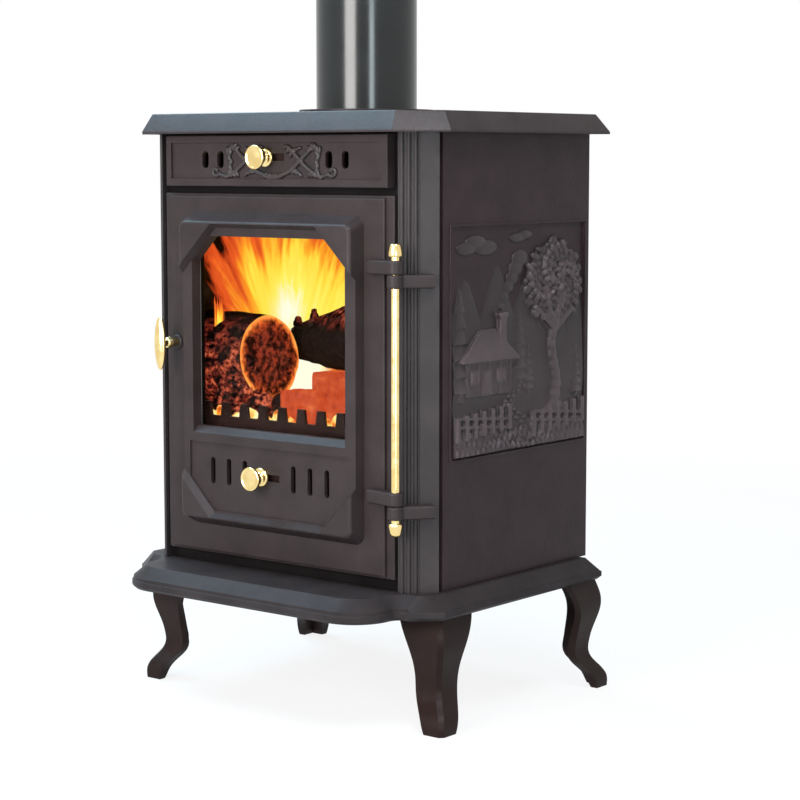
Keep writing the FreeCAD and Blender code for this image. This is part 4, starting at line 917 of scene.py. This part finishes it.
def live_embers(name, scale, strength, stops):
    made, tree, shader = finish(name)
    where = coords(tree)
    lumps = cells(tree, where, scale)
    clouds = noise(tree, where, scale=scale * 0.7, detail=4, rough=0.6)
    ash = noise(tree, where, scale=300, detail=3)
    heat = sums(tree, "ADD", product(tree, lumps, 0.35), product(tree, clouds, 0.8))
    colour = ramp(tree, ash, (0.4, (0.008, 0.005, 0.004)), (0.7, (0.03, 0.02, 0.016)))
    link(tree, colour, shader.inputs["Base Color"])
    glow(tree, shader, ramp(tree, heat, *stops), strength, rough=1)
    bump(tree, shader, (lumps, 0.7, 0.006), (ash, 0.4, 0.001))
    return made


LOG_END = glowing_end()
BARK = burning_bark("burning_bark", 1.0, cold_z=0.475, hot_z=0.425)
CHARRED = burning_bark("charred_bark", 0.9, cold_z=0.452, hot_z=0.476)
MOTTLED = burning_bark("mottled_embers", 1.15, cold_z=0.47, hot_z=0.38)
EMBERS = live_embers("live_embers", 42, 1.1, WHITE_HOT)
SPARKS = live_embers("ember_sparks", 70, 1.15, WHITE_HOT)
HOT_BLOCK = live_embers("hot_block", 90, 0.9, RED_HOT)


# Fire: logs, embers and flames

LOG_SLICES = 9
END_RINGS = 5
RING_SHARE = 0.165
END_FACING = 0.75
HEAP_VOXEL = 0.0022
# Smoothing angles in degrees
LUMP_SMOOTH, HEAP_SMOOTH, FLAME_SMOOTH = 50, 60, 80


def roughen(piece, size, amount, sink=0.0):
    pattern = bpy.data.textures.new(piece.name + "_lumps", "CLOUDS")
    pattern.noise_scale = size
    pattern.noise_depth = 3
    apply_modifier(piece, "DISPLACE", texture=pattern, strength=amount, mid_level=0.5 + sink)


def settle_fire(piece, name, look, angle):
    smooth(piece, angle)
    settle(piece, name, "stove", look)


def log(name, left, right, radius, far_radius, amount, bark):
    bpy.ops.mesh.primitive_cone_add(vertices=40, radius1=radius, radius2=far_radius, depth=1,
                                    end_fill_type="NGON", location=(0, 0, 0))
    made = bpy.context.object
    length = math.dist(left, right)
    edit_faces(made, lambda face: abs(face.normal.z) > 0.9)
    for _ in range(END_RINGS):
        bpy.ops.mesh.inset(thickness=min(radius, far_radius) * RING_SHARE)
    edit_all(made)
    bpy.ops.transform.resize(value=(1, 1, length), center_override=(0, 0, 0))
    for cut in range(1, LOG_SLICES):
        bpy.ops.mesh.select_all(action="SELECT")
        bpy.ops.mesh.bisect(plane_co=(0, 0, length * (cut / LOG_SLICES - 0.5)), plane_no=(0, 0, 1))
    leave_edit()
    rim = made.data.attributes.new("rim", "FLOAT", "POINT")
    for corner, entry in zip(made.data.vertices, rim.data):
        entry.value = math.hypot(corner.co.x, corner.co.y) / (radius if corner.co.z < 0 else far_radius)
    along = [(b - a) / length for a, b in zip(left, right)]
    made.rotation_euler = (0, math.acos(along[2]), math.atan2(along[1], along[0]))
    made.location = [(a + b) / 2 for a, b in zip(left, right)]
    in_place(made)
    made.name = name
    roughen(made, radius * 0.5, amount, sink=0.02)
    settle_fire(made, name, bark, LUMP_SMOOTH)
    made.data.materials.append(LOG_END)
    for face in made.data.polygons:
        if abs(sum(n * d for n, d in zip(face.normal, along))) > END_FACING:
            face.material_index = 1


def ember_bed(behind, half_wide, half_deep, top_z, tall):
    bpy.ops.mesh.primitive_grid_add(x_subdivisions=44, y_subdivisions=34, size=2,
                                    location=(0, depth(behind), top_z))
    made = bpy.context.object
    enter_edit()
    bpy.ops.transform.resize(value=(half_wide, half_deep, 1))
    bpy.ops.mesh.extrude_region_move(TRANSFORM_OT_translate={"value": (0, 0, -tall)})
    in_place(made)
    face_outward(made)
    crown = made.vertex_groups.new(name="crown")
    middle_z = top_z - tall / 2
    crown.add([corner.index for corner in made.data.vertices if corner.co.z > middle_z], 1, "REPLACE")
    pattern = bpy.data.textures.new("ember_lumps", "VORONOI")
    pattern.noise_scale = 0.03
    apply_modifier(made, "DISPLACE", texture=pattern, strength=-0.022, mid_level=0.4, direction="Z",
                   vertex_group="crown")
    settle_fire(made, "ember_bed", EMBERS, LUMP_SMOOTH)


def ember_block(name, x, behind, z, size, turn):
    middle = (x, depth(behind), z)
    bpy.ops.mesh.primitive_cube_add(size=2, location=middle)
    made = bpy.context.object
    enter_edit()
    bpy.ops.transform.resize(value=[length / 2 for length in size])
    bpy.ops.transform.rotate(value=turn, orient_axis="Z", center_override=middle)
    bpy.ops.mesh.bevel(offset=0.006, segments=2, affect="EDGES")
    bpy.ops.mesh.select_all(action="SELECT")
    bpy.ops.mesh.subdivide(number_cuts=5)
    in_place(made)
    made.name = name
    roughen(made, 0.018, 0.008)
    settle_fire(made, name, HOT_BLOCK, LUMP_SMOOTH)


def ember_heap(name, places, look, amount=0.009):
    lumps = []
    for x, behind, z, size in places:
        bpy.ops.mesh.primitive_ico_sphere_add(subdivisions=4, radius=size, location=(x, depth(behind), z))
        lumps.append(bpy.context.object)
        enter_edit()
        bpy.ops.transform.resize(value=(1.1, 0.75, 0.9))
        in_place(lumps[-1])
    heap = join(lumps)
    apply_modifier(heap, "REMESH", mode="VOXEL", voxel_size=HEAP_VOXEL)
    heap.name = name
    roughen(heap, 0.012, amount)
    settle_fire(heap, name, look, HEAP_SMOOTH)


def flame(name, x, behind, half_width, foot, head, turn, seed, core, spread, rise, dim, edge=0.0, lean=0.25):
    middle = (x, depth(behind), (foot + head) / 2)
    bpy.ops.mesh.primitive_grid_add(x_subdivisions=26, y_subdivisions=34, size=2, location=middle)
    made = bpy.context.object
    enter_edit()
    bpy.ops.transform.resize(value=(half_width, (head - foot) / 2, 1))
    bpy.ops.transform.rotate(value=-math.pi / 2, orient_axis="X", center_override=middle)
    bpy.ops.transform.rotate(value=-turn, orient_axis="Z", center_override=middle)
    in_place(made)
    made.name = name
    roughen(made, 0.07, 0.03)
    look = flame_finish(name + "_fire", seed, core, spread, rise, dim, edge, lean)
    settle_fire(made, name, look, FLAME_SMOOTH)


log("big_log", left=(-0.176, depth(0.098), 0.4075), right=(-0.092, depth(0.095), 0.4175),
    radius=0.069, far_radius=0.0525, amount=0.006, bark=BARK)
log("right_log", left=(-0.142, depth(0.206), 0.427), right=(0.07, depth(0.134), 0.448),
    radius=0.021, far_radius=0.057, amount=0.008, bark=CHARRED)
log("back_log", left=(-0.13, depth(0.262), 0.362), right=(0.15, depth(0.25), 0.37),
    radius=0.03, far_radius=0.032, amount=0.006, bark=BARK)

ember_bed(behind=0.172, half_wide=0.178, half_deep=0.128, top_z=0.338, tall=0.0405)
ember_block("ember_block_low", x=0.002, behind=0.06, z=0.341, size=(0.066, 0.036, 0.088), turn=0.1)
ember_block("ember_block_right", x=0.056, behind=0.082, z=0.352, size=(0.1, 0.05, 0.112), turn=0.05)
ember_block("ember_block_far", x=0.135, behind=0.13, z=0.355, size=(0.06, 0.07, 0.1), turn=-0.2)

# Place across, depth behind the door's flat, height and radius
LEFT_HEAP = [(-0.152 + 0.015 * (step % 4), 0.053 + 0.004 * (step % 3), 0.318 + 0.0085 * step, 0.0175)
             for step in range(12)]
MIDDLE_HEAP = [(-0.1 + 0.012 * step, 0.058 + 0.004 * (step % 2), 0.342 + 0.01 * (step % 3), 0.019)
               for step in range(8)]
SPARK_ROW = [(-0.15 + 0.0235 * step, 0.0475, 0.345 + 0.006 * (step % 2), 0.0105) for step in range(14)]
KNOTS = [(-0.107, 0.166, 0.455, 0.0065), (-0.1065, 0.166, 0.461, 0.0048), (-0.0755, 0.162, 0.458, 0.009),
         (-0.075, 0.161, 0.466, 0.0062), (-0.0745, 0.16, 0.473, 0.0042)]
ember_heap("ember_heap_left", LEFT_HEAP, MOTTLED)
ember_heap("ember_heap_middle", MIDDLE_HEAP, MOTTLED)
ember_heap("ember_sparks", SPARK_ROW, SPARKS)
ember_heap("charred_knots", KNOTS, CHARRED, amount=0.002)

FIRE_FOOT, FIRE_HEAD = 0.335, 0.584
FACING = 0.67
flame("flame_back", x=0.0, behind=0.285, half_width=0.172, foot=FIRE_FOOT, head=FIRE_HEAD, turn=0.0,
      seed=3.1, core=(0.5, 0.45), spread=0.6, rise=0.7, dim=0.1)
flame("flame_main", x=-0.1276, behind=0.2217, half_width=0.0745, foot=FIRE_FOOT, head=FIRE_HEAD, turn=FACING,
      seed=7.7, core=(0.264, 0.53), spread=1.0, rise=0.62, dim=0.0, edge=-0.4)
flame("flame_core", x=-0.127, behind=0.2, half_width=0.038, foot=FIRE_FOOT, head=0.445, turn=FACING,
      seed=2.3, core=(0.5, 0.5), spread=3.2, rise=3.2, dim=-0.06, edge=-0.4)
flame("flame_left", x=-0.1419, behind=0.096, half_width=0.055, foot=0.44, head=FIRE_HEAD, turn=FACING,
      seed=5.2, core=(0.95, 0.3), spread=1.2, rise=1.6, dim=0.29, edge=0.27, lean=0.4)
flame("flame_right", x=0.1, behind=0.17, half_width=0.075, foot=0.345, head=0.575, turn=-FACING,
      seed=9.4, core=(0.5, 0.45), spread=0.5, rise=0.7, dim=0.05)
flame("flame_tongue", x=-0.146, behind=0.061, half_width=0.0065, foot=0.432, head=0.497, turn=FACING,
      seed=1.6, core=(0.5, 0.3), spread=0.9, rise=0.78, dim=0.16)


# Camera, light and floor

CAMERA_PLACE = (1.7177, -2.0494, 0.6659)
CAMERA_TILT, CAMERA_HEADING = math.radians(83.6), math.radians(38.6)
CAMERA_LENS, SENSOR_WIDTH = 96.83, 36
WHITE = (1, 1, 1, 1)
SKY_STRENGTH = 0.12
FLOOR_SIZE = 24
FLOOR_GAP = 0.0005
# Distance from the middle as a share of 4 m, and how much of the floor is plain white there
FLOOR_FADE = ((0.15, 0.86), (0.6, 1.0))
STOVE_MIDDLE = (0, 0, 0.6)


def set_camera():
    data = bpy.data.cameras.new("camera")
    data.lens = CAMERA_LENS
    data.sensor_width = SENSOR_WIDTH
    made = bpy.data.objects.new("camera", data)
    made.location = CAMERA_PLACE
    made.rotation_euler = (CAMERA_TILT, 0, CAMERA_HEADING)
    scene.collection.objects.link(made)
    scene.camera = made


def softbox(name, place, aim, wide, tall, watts, colour):
    data = bpy.data.lights.new(name, "AREA")
    data.shape = "RECTANGLE"
    data.size = wide
    data.size_y = tall
    data.energy = watts
    data.color = colour
    lamp = bpy.data.objects.new(name, data)
    lamp.location = place
    run = [b - a for a, b in zip(place, aim)]
    flat = math.hypot(run[0], run[1])
    lamp.rotation_euler = (math.atan2(flat, -run[2]), 0, math.atan2(-run[0], run[1]))
    scene.collection.objects.link(lamp)


def seen_share(tree):
    paths = tree.nodes.new("ShaderNodeLightPath").outputs
    mirrored = sums(tree, "MAXIMUM", paths["Is Glossy Ray"], paths["Is Transmission Ray"])
    return sums(tree, "MAXIMUM", paths["Is Camera Ray"], mirrored)


def blend(tree, share, first, second, output):
    mix = tree.nodes.new("ShaderNodeMixShader")
    link(tree, share, mix.inputs[0])
    link(tree, first, mix.inputs[1])
    link(tree, second, mix.inputs[2])
    link(tree, mix.outputs[0], tree.nodes[output].inputs["Surface"])


def plain_white(tree, kind):
    made = tree.nodes.new(kind)
    made.inputs["Color"].default_value = WHITE
    made.inputs["Strength"].default_value = 1
    return made.outputs[0]


def set_sky():
    world = bpy.data.worlds.new("studio")
    world.use_nodes = True
    scene.world = world
    tree = world.node_tree
    sky = tree.nodes["Background"]
    sky.inputs["Color"].default_value = WHITE
    sky.inputs["Strength"].default_value = SKY_STRENGTH
    white = plain_white(tree, "ShaderNodeBackground")
    blend(tree, seen_share(tree), sky.outputs[0], white, "World Output")


def pale_floor():
    made, tree, shader = finish("pale_floor")
    speckle = noise(tree, coords(tree), scale=30, detail=2)
    link(tree, ramp(tree, speckle, (0.3, 0.86), (0.7, 0.88)), shader.inputs["Base Color"])
    shader.inputs["Roughness"].default_value = 1
    shader.inputs["Specular IOR Level"].default_value = 0
    away = tree.nodes.new("ShaderNodeVectorMath")
    away.operation = "LENGTH"
    link(tree, coords(tree), away.inputs[0])
    faded = ramp(tree, product(tree, away.outputs["Value"], 0.25), *FLOOR_FADE)
    white = plain_white(tree, "ShaderNodeEmission")
    blend(tree, product(tree, seen_share(tree), faded), shader.outputs[0], white, "Material Output")
    return made


set_camera()
softbox("front_softbox", place=(0.1, -2.6, 1.1), aim=STOVE_MIDDLE, wide=1.15, tall=1.6, watts=94,
        colour=(1, 0.97, 0.95))
softbox("corner_softbox", place=(2.15, -1.72, 0.62), aim=(0, 0, 0.45), wide=0.45, tall=1.2, watts=24,
        colour=(0.82, 0.95, 1))
softbox("left_top_softbox", place=(-1.2, -0.8, 2.4), aim=STOVE_MIDDLE, wide=1.4, tall=1.2, watts=58,
        colour=(0.4, 0.76, 1.0))
softbox("right_top_softbox", place=(1.25, -0.95, 2.4), aim=STOVE_MIDDLE, wide=1.0, tall=0.8, watts=60,
        colour=(0.85, 0.92, 1.0))
softbox("left_back_softbox", place=(-1.75, 0.5, 2.4), aim=(0, -0.1, 0.6), wide=1.0, tall=1.0, watts=60,
        colour=(0.5, 0.8, 1.0))
set_sky()

take()
bpy.ops.mesh.primitive_plane_add(size=FLOOR_SIZE, location=(0, 0, -FLOOR_GAP))
floor = bpy.context.object
floor.name = "floor"
floor.data.materials.append(pale_floor())
